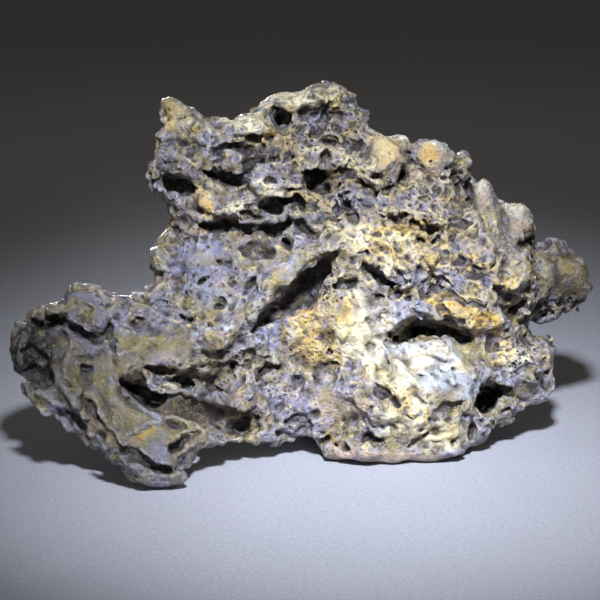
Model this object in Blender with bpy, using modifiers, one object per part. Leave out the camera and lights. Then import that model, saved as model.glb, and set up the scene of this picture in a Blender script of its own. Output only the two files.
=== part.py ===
"""Desert viewing stone: one piece of cavernous, etched rock that stands on three worn feet.

The stone is laid out on its display face, a plane that leans back from the upright. A place on it is
(across, up, out) in millimetres: across to the right, up the leaning face, and out towards the viewer.
Lobes and body masses are joined first, ridges and hollows are then set on the surface found in front
of or behind each place, and the whole is weathered and cut flat where it rests.
"""

import math

import bmesh
import bpy
from mathutils import Matrix, Vector
from mathutils.bvhtree import BVHTree

NODE = "viewing_stone"
MM = 0.001

# Driving dimensions
STONE_LENGTH = 220 * MM
FACE_LEAN = math.radians(15)  # of the display face, back from the upright
FACE_HEIGHT = 53.5 * MM  # of the face's middle above the ground
VOXEL = 1.5 * MM  # of the remesh that joins the lumps
BALL_DIVISIONS = 3  # of the balls the stone is built up from
TRIANGLES = 9700  # of the finished stone
COARSE_RELIEF = (22 * MM, 5.0 * MM)  # wavelength and height of the broad unevenness
FINE_RELIEF = (8 * MM, 3.4 * MM)  # spacing and depth of the etched cells
BASE_ROUNDING = 3  # smoothing passes over the joined lumps

# Lobes along the outline, clockwise from the upper left: (across, up, out, radius)
OUTLINE_LOBES = {
    "left_knob": [(-48.5, 70.5, -5, 6.5), (-44, 70, -6, 5.5)],
    "saddle": [(-36, 63.5, -10, 6.5), (-29.5, 66, -14, 6), (-23, 64.5, -12, 5.5)],
    "crest": [
        (-14.5, 70, -8, 7), (-5.5, 73, -10, 7.5), (2, 75, -14, 7.5), (10, 76, -12, 8.5),
        (14, 75, -16, 8), (20, 68, -14, 8), (23.5, 60.5, -10, 7.5),
    ],
    "right_shoulder": [
        (31.5, 56, -6, 7), (36.5, 53, -8, 7), (42.5, 53.5, -14, 6.5), (47.5, 55, -10, 7),
        (53.5, 54.5, -14, 7), (60.5, 49.5, -18, 7),
    ],
    "right_lobes": [
        (70, 38, -12, 7), (68, 39, -14, 6.5), (81.5, 30.5, -20, 8.5), (84.5, 25, -22, 6.5),
    ],
    "right_tip": [
        (100, 15.5, -30, 9), (106, 9.5, -30, 8), (107, 6.5, -28, 7.5), (105.5, 0, -30, 5.5),
        (100, 2.5, -30, 6.5),
    ],
    "lower_right": [
        (94, -18, -12, 5.5), (91, -23.5, -10, 7), (91.5, -31.5, -8, 5.5), (87, -36.5, -6, 5.5),
        (83, -36.5, -4, 6), (74, -42, 0, 6.5), (65.5, -48.5, 6, 7.5),
    ],
    "main_foot": [
        (57, -52, 12, 7.5), (49.5, -53.5, 14, 7), (41, -54, 16, 6.5), (33, -53, 17, 7),
        (26, -54.5, 18, 7), (17.5, -53.5, 16, 6), (13.5, -53.5, 14, 5.5),
    ],
    "arch": [
        (4.5, -46, 16, 6), (-2.5, -44.5, 14, 5.5), (-8.5, -47.5, 14, 6.5), (-16.5, -47, 16, 6),
        (-24.5, -47.5, 20, 6), (-32.5, -48.5, 28, 6.5),
    ],
    "left_foot": [
        (-44.5, -56, 40, 7), (-51.5, -60, 44, 8), (-58, -58.5, 44, 8.5), (-67, -51, 40, 8),
        (-75, -44, 36, 8), (-84, -37, 34, 8.5),
    ],
    "left_end": [
        (-93, -30.5, 30, 9), (-98, -22.5, 26, 8.5), (-98.5, -16.5, 24, 9), (-96.5, -10.5, 20, 8),
        (-91.5, -8, 18, 7.5),
    ],
    "arm_top": [
        (-81, -2, 10, 7.5), (-75, -3, 12, 7), (-68, -6.5, 10, 7), (-61.5, -4.5, 8, 7), (-51, 2, 4, 6),
    ],
    "waist": [(-50, 14, 0, 6.5), (-49, 19.5, -4, 7), (-45, 28, -4, 6.5), (-45, 35.5, 0, 6.5)],
    "left_cheek": [(-51.5, 45.5, 4, 7), (-50, 52.5, 2, 7), (-49, 60, -2, 6.5)],
}

# The mass behind the lobes: (across, up, out), (radius across, radius up, radius out), roll in degrees
BODY = {
    "core": ((22, 0, -8), (46, 44, 29), 0),
    "upper": ((-10, 46, -10), (34, 26, 20), 0),
    "cheek": ((-38, 50, -6), (15, 20, 12), 0),
    "waist_core": ((-32, 18, -6), (17, 26, 17), 0),
    "upper_right": ((26, 34, -12), (40, 24, 22), -20),
    "right": ((62, 4, -10), (30, 34, 25), 0),
    "base": ((38, -36, -2), (36, 20, 30), 0),
    "base_left": ((10, -38, 2), (22, 13, 20), 0),
    "base_right": ((70, -26, -8), (22, 17, 22), 0),
    "middle_left": ((-20, -6, -4), (32, 34, 23), 0),
    "lower_middle": ((-8, -34, 2), (28, 14, 18), 0),
    "arm": ((-46, -17, 6), (32, 18, 19), 8),
    "arm_low": ((-40, -43, 18), (26, 8, 16), 6),
    "left_middle": ((-74, -25, 16), (24, 20, 17), 0),
    "left_foot_core": ((-61, -44, 27), (20, 12, 18), -20),
    "left_end_core": ((-86, -20, 18), (15, 17, 14), 0),
    "tip": ((92, 8, -25), (18, 11, 14), 0),
    "back_foot": ((16, -26, -36), (32, 20, 18), 0),
    "back_hump": ((28, 26, -34), (30, 24, 16), 15),
    "back_arm": ((-56, -18, -6), (24, 13, 13), 0),
}

# Ridges and lobes on the face: how far each stands out, and (across, up, radius) along it
RIDGES = {
    "arch_ridge": (4.5, [
        (14, 20, 3.5), (6.5, 16, 4), (-2, 10.5, 5), (-11, 3, 5), (-18.5, -4.5, 5), (-25, -11, 4.5),
        (-35, -16.5, 4),
    ]),
    "ear_rim": (5, [
        (-87.5, -6, 3.5), (-95, -6, 3.5), (-100, -11.5, 3.5), (-101.5, -19.5, 3.5), (-99.5, -29, 3.5),
        (-92, -37, 3.5), (-83.5, -45, 3.5),
    ]),
    "ear_knob": (3, [(-96.5, -14, 4)]),
    "ear_lip": (4, [(-85, -12.5, 2.5), (-83, -19, 3), (-85, -27.5, 3), (-80, -35.5, 3.5)]),
    "hanging_lobe": (4, [(-83.5, 0, 3.5), (-79, -4.5, 4.5), (-74.5, -9.5, 3.5)]),
    "arm_bump": (3, [(-65, -4.5, 5), (-59, -6.5, 4.5)]),
    "slot_upper_lip": (3.5, [(-68.5, -25.5, 3.5), (-60, -24, 3.5), (-51, -23.5, 3.5), (-41.5, -25, 3.5)]),
    "slot_ledge": (3.5, [(-54.5, -30, 2), (-48, -32, 2), (-38.5, -35, 2)]),
    "slot_lower_lip": (5, [
        (-71.5, -33, 4.5), (-61.5, -41.5, 5), (-52, -47.5, 5), (-41.5, -51, 4.5), (-31, -51.5, 3.5),
    ]),
    "slot_end_knob": (4, [(-22.5, -36, 4.5), (-14, -38, 3.5)]),
    "foot_limb": (4, [(-74, -46.5, 3.5), (-65, -54, 4), (-54, -60.5, 4.5)]),
    "arch_rim": (4, [(-23.5, -50, 3), (-14, -50.5, 3), (-3.5, -45.5, 3.5)]),
    "cheek_ball": (3.5, [(-34, 37, 5)]),
    "cheek_shelf": (3.5, [
        (-53, 42.5, 3), (-45.5, 38, 3.5), (-35.5, 32, 3.5), (-22.5, 29, 3.5), (-10.5, 29, 3),
    ]),
    "cheek_knob": (3.5, [(-51, 56, 4.5), (-45.5, 53, 4.5)]),
    "left_brow": (3, [(-39, 64.5, 4), (-35.5, 58, 3.5), (-37.5, 51, 3.5)]),
    "brow": (3, [(-29, 67, 3.5), (-22.5, 65.5, 3.5), (-15.5, 64, 3)]),
    "crest_rim": (3, [(-13, 72, 3), (-4.5, 75.5, 3.5), (7, 77, 4), (15, 74, 3.5), (19.5, 68, 3.5)]),
    "pale_fin": (4, [(-12, 52, 2.5), (-14, 44.5, 3), (-14, 38.5, 3)]),
    "orange_lobe": (5, [(30, 59.5, 4.5), (34.5, 53, 6.5), (29, 46, 4)]),
    "shoulder_lobe": (4, [(48, 56, 4.5), (54, 51, 5), (52.5, 44, 4.5)]),
    "shoulder_knob": (4, [(62, 49, 4)]),
    "upper_ledge": (3.5, [(0, 50, 3), (9, 51.5, 3), (18.5, 49.5, 3)]),
    "mid_ledge": (3.5, [(18.5, 37, 3.5), (28.5, 34.5, 3.5), (40, 31.5, 3), (54, 28.5, 3.5)]),
    "third_ledge": (3.5, [(22, 25, 3.5), (30, 19, 3.5), (37.5, 12, 3.5), (43.5, 3.5, 3.5)]),
    "fourth_ledge": (3.5, [(45.5, 17, 3.5), (54.5, 11, 3.5), (64, 5, 3.5), (73.5, -4.5, 3.5)]),
    "crescent_brow": (4, [(35, -6, 3.5), (45.5, -4.5, 3.5), (54, -3, 3.5), (63.5, -8, 3.5)]),
    "column": (5, [(70, 37.5, 5), (71, 29, 5), (70, 21, 5), (67.5, 14, 3.5)]),
    "outer_column": (5, [(82.5, 32.5, 5), (83, 26.5, 4)]),
    "low_column": (4, [(83, 13.5, 3), (83.5, 6, 3), (79, 3, 3)]),
    "tip_rim": (4, [(99, 16, 3.5), (107, 11.5, 3.5), (109, 6, 3)]),
    "tip_knob": (3, [(94.5, 12, 4), (94, 5.5, 4)]),
    "cream_swell": (3, [(17, -8, 7.5), (20.5, -17, 6.5)]),
    "white_swell": (4, [(51, -22.5, 9), (59, -29, 8)]),
    "lower_swell": (4, [(26.5, -39.5, 8), (41, -45.5, 7.5)]),
    "ochre_swell": (3, [(4.5, -11.5, 5), (6.5, -19, 4.5)]),
    "right_jowl": (4, [(82.5, -19, 5), (86, -26, 4.5)]),
    "foot_roll": (3, [(16.5, -56, 3), (27.5, -58, 3), (40.5, -57.5, 3), (53.5, -56, 3.5)]),
    "hole_rim": (3, [(63, -38, 2.5), (65.5, -44.5, 3), (72.5, -46, 3), (79.5, -40, 3)]),
}

# Hollows and clefts in the face: how deep each is, and (across, up, radius) along it
HOLLOWS = {
    "arch_groove": (9, [
        (12.5, 16, 2), (9, 11.5, 3), (4.5, 6, 3.5), (-0.5, 1.5, 3.5), (-6.5, -1.5, 3.5), (-13, -5, 2.5),
        (-16.5, -10.5, 2),
    ]),
    "ear_upper": (9, [(-97, -8.5, 2.5), (-92.5, -7.5, 3), (-88, -9.5, 2)]),
    "ear_lower": (9, [(-95, -21, 3.5), (-95, -27.5, 3.5), (-90.5, -32.5, 2)]),
    "ear_slot": (5, [(-82.5, -10, 1.5), (-77, -13.5, 1.5), (-73, -15, 1.5)]),
    "arm_notch": (7, [(-70, -10, 2)]),
    "slot": (15, [
        (-66, -31, 2), (-61, -34.5, 4.5), (-55, -38, 6), (-48, -40.5, 6), (-40, -42, 5.5),
        (-31.5, -43, 4.5), (-23.5, -45.5, 3.5), (-18, -47, 3),
    ]),
    "slot_upper_slit": (7, [(-56, -26.5, 1), (-49.5, -27, 1.5), (-43, -28.5, 1.5), (-40, -31.5, 2)]),
    "foot_groove": (6, [(-72.5, -42, 1.5), (-65.5, -50, 1.5), (-56.5, -56.5, 1.5)]),
    "lip_crease": (4, [(-45, -52, 1), (-36.5, -49.5, 1)]),
    "cheek_hollow": (10, [(-55, 45.5, 1.5), (-50, 43.5, 3), (-45, 42, 2)]),
    "knob_hollow": (5, [(-52.5, 61, 2), (-47, 61.5, 1.5)]),
    "brow_hollow": (7, [(-32, 52, 2), (-27, 56, 2)]),
    "brow_gap": (9, [(-19.5, 56.5, 2), (-18.5, 50, 2.5), (-21, 44, 2)]),
    "low_brow_shade": (6, [(-35.5, 44, 1.5), (-29, 46, 2)]),
    "face_hole": (11, [(-9.5, 34, 3)]),
    "face_slot": (6, [(-19.5, 32, 1.5), (-16.5, 30.5, 1.5)]),
    "cheek_crevice": (6, [(-38.5, 28, 1.5), (-29.5, 25.5, 1.5), (-18.5, 23, 2), (-9.5, 21, 1.5)]),
    "brown_hollow": (6, [(-16, 17.5, 3), (-12.5, 15.5, 2.5)]),
    "crest_hole": (11, [(-8, 69.5, 3), (-5.5, 67.5, 3)]),
    "crest_band": (6, [(0, 72, 2), (6, 70.5, 2), (15, 72, 2), (19.5, 71, 1.5)]),
    "crest_patch": (6, [(0, 62.5, 2), (6, 63.5, 3), (11, 61, 2.5), (17, 59, 2)]),
    "left_patch": (5, [(-29, 59.5, 2), (-22.5, 61, 2), (-14, 59.5, 2), (-6.5, 59.5, 2)]),
    "ledge_shade": (8, [(2, 45, 2), (8, 44.5, 2.5), (16.5, 45, 2), (23, 43, 2)]),
    "lobe_shade": (8, [(29, 40, 2), (35.5, 41.5, 2), (41, 46, 2), (41.5, 52, 1.5)]),
    "right_shade": (7, [(38, 30, 2), (49, 26.5, 2), (53, 22, 2), (43, 21.5, 2)]),
    "mid_shade": (7, [(28, 14, 2), (31, 8, 2), (36, 2, 2)]),
    "third_shade": (5, [(50, 6.5, 2), (60, 0, 1.5)]),
    "left_pits": (5, [(-40.5, 0, 1.5)]),
    "arm_slit": (6, [(-41.5, -6.5, 1.5), (-38.5, -5.5, 1.5)]),
    "crevice_244": (5, [(-31, 2, 1.5), (-29, 1, 1)]),
    "column_slit": (7, [(63.5, 40.5, 1.5), (63.5, 36.5, 1.5)]),
    "column_seam": (6, [(77, 35.5, 1), (77.5, 26.5, 1), (76.5, 18, 1), (74, 11.5, 1.5)]),
    "lobe_under": (7, [(82.5, 20, 1.5), (87, 22.5, 1.5)]),
    "column_foot": (7, [(75, 3.5, 2), (79.5, 0, 1.5)]),
    "crescent": (18, [
        (32.5, -14.5, 2), (38.5, -14, 2.5), (44, -11.5, 3.5), (50, -10.5, 3.5), (55.5, -10.5, 3.5),
        (61.5, -13.5, 2.5),
    ]),
    "foot_hole": (20, [(67, -39.5, 2.5), (70, -37.5, 4.5), (74, -34, 3.5), (78.5, -32.5, 2)]),
    "tip_undercut": (13, [
        (77.5, -4, 2.5), (81.5, -6, 3), (87.5, -7, 3.5), (94.5, -5.5, 3.5), (101, -3, 3),
        (107, -1, 2.5),
    ]),
    "jowl_slit": (9, [(94, -13, 1.5), (95, -17.5, 1.5)]),
    "jowl_notch": (7, [(91.5, -24, 1.5), (90.5, -30, 1.5)]),
    "small_pit_a": (6, [(30.5, -33.5, 2)]),
    "small_pit_b": (5, [(36.5, -38, 1.5)]),
    "foot_crevice": (5, [(44, -51, 1), (40, -54, 1)]),
    "heel_crevice": (5, [(64, -46, 1), (63, -51.5, 1)]),
    "foot_step": (5, [(28, -51.5, 1.5), (18.5, -50, 1.5)]),
    "arch_pocket": (9, [(-20.5, -45, 3), (-15.5, -47, 2)]),
    "base_nick": (6, [(6, -51.5, 1.5), (11, -48.5, 1.5)]),
}

# The same two kinds of feature on the back
BACK_RIDGES = {
    "spine": (6, [(-14, 62, 7), (-2, 48, 8), (6, 32, 9), (10, 14, 9), (4, -4, 8)]),
    "right_spine": (5, [(38, 40, 7), (52, 26, 8), (62, 10, 8), (66, -8, 7)]),
    "left_shelf": (5, [(-72, -16, 6), (-54, -8, 7), (-36, -6, 7), (-18, -14, 7)]),
    "low_shelf": (5, [(36, -16, 7), (54, -24, 7), (72, -22, 6)]),
    "upper_lump": (4, [(-34, 48, 9)]),
    "tip_lump": (3, [(92, 12, 7)]),
}
BACK_HOLLOWS = {
    "upper_pocket": (8, [(-22, 40, 6), (-16, 30, 7)]),
    "middle_pocket": (11, [(26, 34, 7), (32, 22, 9), (34, 8, 7)]),
    "left_pocket": (9, [(-38, 12, 6), (-30, 4, 8), (-18, 2, 6)]),
    "arm_pocket": (7, [(-64, -26, 5), (-52, -28, 6)]),
    "end_pocket": (6, [(-86, -18, 6)]),
    "low_pocket": (9, [(50, -8, 6), (58, -12, 6)]),
    "foot_pocket": (7, [(-4, -22, 6), (2, -32, 5)]),
    "right_pocket": (7, [(80, 12, 5), (84, 2, 6)]),
}


def face_to_world():
    """The matrix that takes (across, up, out) on the leaning face to the upright frame."""
    across = Vector((1, 0, 0))
    up = Vector((0, math.sin(FACE_LEAN), math.cos(FACE_LEAN)))
    out = Vector((0, -math.cos(FACE_LEAN), math.sin(FACE_LEAN)))
    turn = Matrix((across, up, out)).transposed().to_4x4()
    return Matrix.Translation((0, 0, FACE_HEIGHT)) @ turn


def lump(place, radii, roll=0.0):
    """The matrix that makes a unit ball one ellipsoid, given in millimetres on the leaning face."""
    turn = Matrix.Rotation(math.radians(roll), 4, "Z")
    size = Matrix.Diagonal((*(r * MM for r in radii), 1))
    return face_to_world() @ Matrix.Translation(Vector(place) * MM) @ turn @ size


def mesh_of_lumps(name, lumps):
    ball = bmesh.new()
    bmesh.ops.create_icosphere(ball, subdivisions=BALL_DIVISIONS, radius=1)
    points = [v.co.copy() for v in ball.verts]
    corners = [[v.index for v in f.verts] for f in ball.faces]
    ball.free()
    verts = [matrix @ point for matrix in lumps for point in points]
    faces = [[i + n * len(points) for i in f] for n in range(len(lumps)) for f in corners]
    mesh = bpy.data.meshes.new(name)
    mesh.from_pydata(verts, [], faces)
    return mesh


def along(points):
    """Places half a radius apart along a route of (across, up, radius)."""
    yield Vector(points[0])
    for start, end in zip(points, points[1:]):
        a, b = Vector(start), Vector(end)
        steps = math.ceil((b - a).length / (0.5 * min(a[2], b[2])))
        for i in range(steps):
            yield a.lerp(b, (i + 1) / steps)


def surface_out(skin, across, up, side):
    """How far out the surface lies at one place, seen from the front (side 1) or the back (side -1)."""
    frame = face_to_world()
    start = frame @ (Vector((across, up, 120 * side)) * MM)
    way = frame.to_3x3() @ Vector((0, 0, -side))
    hit = skin.ray_cast(start, way)[0]
    return None if hit is None else (frame.inverted() @ hit).z / MM


def feature_lumps(skin, features, side, raised):
    """Lumps along every route, proud of the surface when raised and sunk into it when not."""
    lumps = []
    for amount, points in features.values():
        for across, up, radius in along(points):
            level = surface_out(skin, across, up, side)
            if level is None:
                continue
            if raised:
                lumps.append(lump((across, up, level + side * (amount - radius)), (radius,) * 3))
            else:
                lumps.append(lump((across, up, level), (radius, radius, amount)))
    return lumps


def new_object(name, mesh, collection):
    made = bpy.data.objects.new(name, mesh)
    collection.objects.link(made)
    return made


def add_remesh(obj):
    remesh = obj.modifiers.new("join", "REMESH")
    remesh.mode = "VOXEL"
    remesh.voxel_size = VOXEL


def apply_modifiers(obj):
    graph = bpy.context.evaluated_depsgraph_get()
    made = bpy.data.meshes.new_from_object(obj.evaluated_get(graph))
    obj.modifiers.clear()
    obj.data = made


def join_masses(collection):
    """Outline lobes and body masses, joined into one rounded stone."""
    lumps = [lump(place, radii, roll) for place, radii, roll in BODY.values()]
    for lobes in OUTLINE_LOBES.values():
        for across, up, out, radius in lobes:
            lumps.append(lump((across, up, out), (radius, radius, radius * 1.25)))
    stone = new_object(NODE, mesh_of_lumps(NODE, lumps), collection)
    add_remesh(stone)
    soften = stone.modifiers.new("soften", "SMOOTH")
    soften.factor = 0.5
    soften.iterations = BASE_ROUNDING
    apply_modifiers(stone)
    return stone


def skin_of(stone):
    shape = bmesh.new()
    shape.from_mesh(stone.data)
    skin = BVHTree.FromBMesh(shape)
    shape.free()
    return skin


def raise_ridges(stone, skin):
    lumps = feature_lumps(skin, RIDGES, 1, raised=True)
    lumps += feature_lumps(skin, BACK_RIDGES, -1, raised=True)
    shape = bmesh.new()
    shape.from_mesh(stone.data)
    shape.from_mesh(mesh_of_lumps("ridges", lumps))
    shape.to_mesh(stone.data)
    shape.free()
    add_remesh(stone)
    apply_modifiers(stone)


def cut_hollows(stone, skin, collection):
    lumps = feature_lumps(skin, HOLLOWS, 1, raised=False)
    lumps += feature_lumps(skin, BACK_HOLLOWS, -1, raised=False)
    hollows = new_object("hollows", mesh_of_lumps("hollows", lumps), collection)
    add_remesh(hollows)
    apply_modifiers(hollows)
    hollows.hide_render = True
    hollows.display_type = "WIRE"
    cut = stone.modifiers.new("hollows", "BOOLEAN")
    cut.operation = "DIFFERENCE"
    cut.solver = "EXACT"
    cut.object = hollows
    apply_modifiers(stone)
    add_remesh(stone)
    apply_modifiers(stone)


def add_relief(stone, name, kind, relief):
    texture = bpy.data.textures.new(name, kind)
    texture.noise_scale = relief[0]
    displace = stone.modifiers.new(name, "DISPLACE")
    displace.texture = texture
    displace.texture_coords = "GLOBAL"
    displace.strength = relief[1]
    displace.mid_level = 0.5


def weather(stone):
    """Roughens the surface all round, then thins it to broad facets."""
    add_relief(stone, "unevenness", "CLOUDS", COARSE_RELIEF)
    add_relief(stone, "cells", "VORONOI", FINE_RELIEF)
    add_remesh(stone)
    apply_modifiers(stone)
    thin = stone.modifiers.new("thin", "DECIMATE")
    thin.ratio = TRIANGLES / (2 * len(stone.data.polygons))
    apply_modifiers(stone)


def keep_largest_piece(shape):
    """Drops crumbs that weathering has cut loose."""
    waiting = set(shape.verts)
    pieces = []
    while waiting:
        piece, edge = set(), [waiting.pop()]
        while edge:
            vert = edge.pop()
            piece.add(vert)
            for link in vert.link_edges:
                other = link.other_vert(vert)
                if other in waiting:
                    waiting.remove(other)
                    edge.append(other)
        pieces.append(piece)
    pieces.sort(key=len)
    for piece in pieces[:-1]:
        bmesh.ops.delete(shape, geom=list(piece), context="VERTS")


def size_and_seat(stone):
    """Scales the stone to its length, cuts it flat where it rests, and centres it on the origin."""
    shape = bmesh.new()
    shape.from_mesh(stone.data)
    keep_largest_piece(shape)
    bmesh.ops.triangulate(shape, faces=shape.faces[:])
    across = [v.co.x for v in shape.verts]
    scale = STONE_LENGTH / (max(across) - min(across))
    bmesh.ops.scale(shape, vec=(scale, scale, scale), verts=shape.verts[:])
    everything = shape.verts[:] + shape.edges[:] + shape.faces[:]
    bmesh.ops.bisect_plane(
        shape, geom=everything, plane_co=(0, 0, 0), plane_no=(0, 0, -1), clear_outer=True
    )
    bmesh.ops.holes_fill(shape, edges=[e for e in shape.edges if e.is_boundary])
    low = Vector([min(v.co[i] for v in shape.verts) for i in range(3)])
    high = Vector([max(v.co[i] for v in shape.verts) for i in range(3)])
    middle = (low + high) / 2
    bmesh.ops.translate(shape, vec=(-middle.x, -middle.y, -low.z), verts=shape.verts[:])
    bmesh.ops.recalc_face_normals(shape, faces=shape.faces[:])
    shape.to_mesh(stone.data)
    shape.free()


def stone_material():
    material = bpy.data.materials.new("weathered_rock")
    material.use_nodes = True
    shader = material.node_tree.nodes["Principled BSDF"]
    shader.inputs["Base Color"].default_value = (0.30, 0.25, 0.17, 1)
    shader.inputs["Roughness"].default_value = 0.55
    shader.inputs["Metallic"].default_value = 0.0
    return material


def main():
    for old in list(bpy.data.objects):
        bpy.data.objects.remove(old)
    parts = bpy.data.collections.new("desert_viewing_stone")
    cutters = bpy.data.collections.new("cutters")
    for collection in (parts, cutters):
        bpy.context.scene.collection.children.link(collection)
    stone = join_masses(parts)
    skin = skin_of(stone)
    raise_ridges(stone, skin)
    cut_hollows(stone, skin, cutters)
    weather(stone)
    size_and_seat(stone)
    stone.data.materials.append(stone_material())


main()
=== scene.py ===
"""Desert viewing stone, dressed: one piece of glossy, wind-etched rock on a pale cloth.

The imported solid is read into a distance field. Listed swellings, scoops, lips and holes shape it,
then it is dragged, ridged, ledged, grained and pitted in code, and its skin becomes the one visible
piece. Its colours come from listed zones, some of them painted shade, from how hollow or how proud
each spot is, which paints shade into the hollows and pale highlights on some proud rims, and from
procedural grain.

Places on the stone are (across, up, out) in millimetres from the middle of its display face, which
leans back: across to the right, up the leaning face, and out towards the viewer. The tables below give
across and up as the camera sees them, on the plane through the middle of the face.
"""

import math
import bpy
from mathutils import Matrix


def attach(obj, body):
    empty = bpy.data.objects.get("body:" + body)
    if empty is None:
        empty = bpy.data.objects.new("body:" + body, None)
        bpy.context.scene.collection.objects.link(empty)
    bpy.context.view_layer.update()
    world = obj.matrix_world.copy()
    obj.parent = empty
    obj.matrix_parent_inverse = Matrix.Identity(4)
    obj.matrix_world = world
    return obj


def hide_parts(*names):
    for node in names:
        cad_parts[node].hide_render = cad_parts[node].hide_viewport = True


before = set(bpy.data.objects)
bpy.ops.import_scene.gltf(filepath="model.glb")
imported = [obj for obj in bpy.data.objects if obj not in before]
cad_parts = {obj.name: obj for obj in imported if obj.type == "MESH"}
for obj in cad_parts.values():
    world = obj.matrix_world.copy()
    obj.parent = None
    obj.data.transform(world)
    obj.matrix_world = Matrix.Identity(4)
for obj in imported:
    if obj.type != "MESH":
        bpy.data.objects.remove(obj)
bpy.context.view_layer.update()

from concurrent.futures import ThreadPoolExecutor

import bmesh
import bpy
import numpy as np
import openvdb
from mathutils import Vector

NODE = "viewing_stone"
MM = 0.001

# The display face and the camera that looks straight at it
FACE_MIDDLE = np.array((-3.76, 5.25, 52.74), np.float32)
FACE_LEAN = math.radians(15)
CAMERA_DISTANCE = 900.0
VIEW_WIDTH = 225.0  # of the face, across the picture
SENSOR = 36.0

# The sculpting grid
COARSE = 1.65  # voxel of the field read from the solid
REFINE = 3  # fine voxels per coarse voxel
VOXEL = COARSE / REFINE
MARGIN = 7.0  # of empty grid round the stone
LEVEL_SET_REACH = 7.0  # of the distances read from the solid, in coarse voxels
BROAD_BAND = 6.5  # how near the surface the broad shaping works
FINE_BAND = 2.6
WORKERS = 4
CHUNK = 400_000  # grid points that one worker takes at a time

# The finished skin
FRONT_TRIANGLES = 138_000  # of the display side, after the first thinning
ALL_TRIANGLES = 194_000
FRONT_LEAST_FACING = -0.15  # least cosine between the way out and a front vertex's normal
FRONT_DEPTH = 48  # how far behind the face the display side still counts
PROTECTION = 1000  # how strongly thinning keeps to the vertices that aren't protected
SKIN_BAND = 3.0  # how far from the skin its grid holds true distances

ACROSS = np.array((1, 0, 0), np.float32)
UP = np.array((0, math.sin(FACE_LEAN), math.cos(FACE_LEAN)), np.float32)
OUT = np.array((0, -math.cos(FACE_LEAN), math.sin(FACE_LEAN)), np.float32)
FACE_AXES = np.stack((ACROSS, UP, OUT))


def to_face(points):
    return (points - FACE_MIDDLE) @ FACE_AXES.T


def to_world(places):
    return np.asarray(places, np.float32) @ FACE_AXES + FACE_MIDDLE


def as_seen(places):
    """Across and up as the camera sees them: nearer places stand further from the middle."""
    scale = 1 / (1 - places[:, 2] / CAMERA_DISTANCE)
    return places[:, 0] * scale, places[:, 1] * scale


# ---------------------------------------------------------------- noise

LATTICE = 32


def lattice(seed):
    values = np.random.default_rng(seed).random((LATTICE,) * 3, np.float32)
    return (values * 2 - 1).ravel()


def noise(points, wavelength, seed):
    """Smooth noise between -1 and 1. A triple of wavelengths stretches it along the axes."""
    values = lattice(seed)
    q = points / np.asarray(wavelength, np.float32) + np.float32(seed * 0.37)
    cell = np.floor(q)
    t = (q - cell).astype(np.float32)
    t = t * t * (3 - 2 * t)
    low = cell.astype(np.int32) % LATTICE
    high = (low + 1) % LATTICE
    total = 0
    for i in (0, 1):
        wx = t[:, 0] if i else 1 - t[:, 0]
        x = (high if i else low)[:, 0] * (LATTICE * LATTICE)
        for j in (0, 1):
            wy = wx * (t[:, 1] if j else 1 - t[:, 1])
            y = x + (high if j else low)[:, 1] * LATTICE
            total = total + wy * (values[y + low[:, 2]] * (1 - t[:, 2]) + values[y + high[:, 2]] * t[:, 2])
    return total


def drifts(points, wavelength, seed):
    """Noise in three directions."""
    return np.stack([noise(points, wavelength, seed + axis) for axis in range(3)], 1)


def fractal(points, wavelength, seed, octaves=3, gain=0.5):
    """Octaves of noise, each finer and weaker than the last."""
    total, weight, size = 0, 1.0, np.asarray(wavelength, np.float32)
    for k in range(octaves):
        total = total + weight * noise(points, size, seed + 17 * k)
        weight *= gain
        size = size * 0.49
    return total


def ridged(points, wavelength, seed, octaves=2):
    """Sharp crests at 1, broad floors towards 0."""
    total, weight, size = 0, 1.0, np.asarray(wavelength, np.float32)
    for k in range(octaves):
        crest = 1 - np.abs(noise(points, size, seed + 29 * k)) * 1.6
        total = total + weight * crest * np.abs(crest)
        weight *= 0.5
        size = size * 0.5
    return total / 1.5


# ---------------------------------------------------------------- zones of the face

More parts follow.
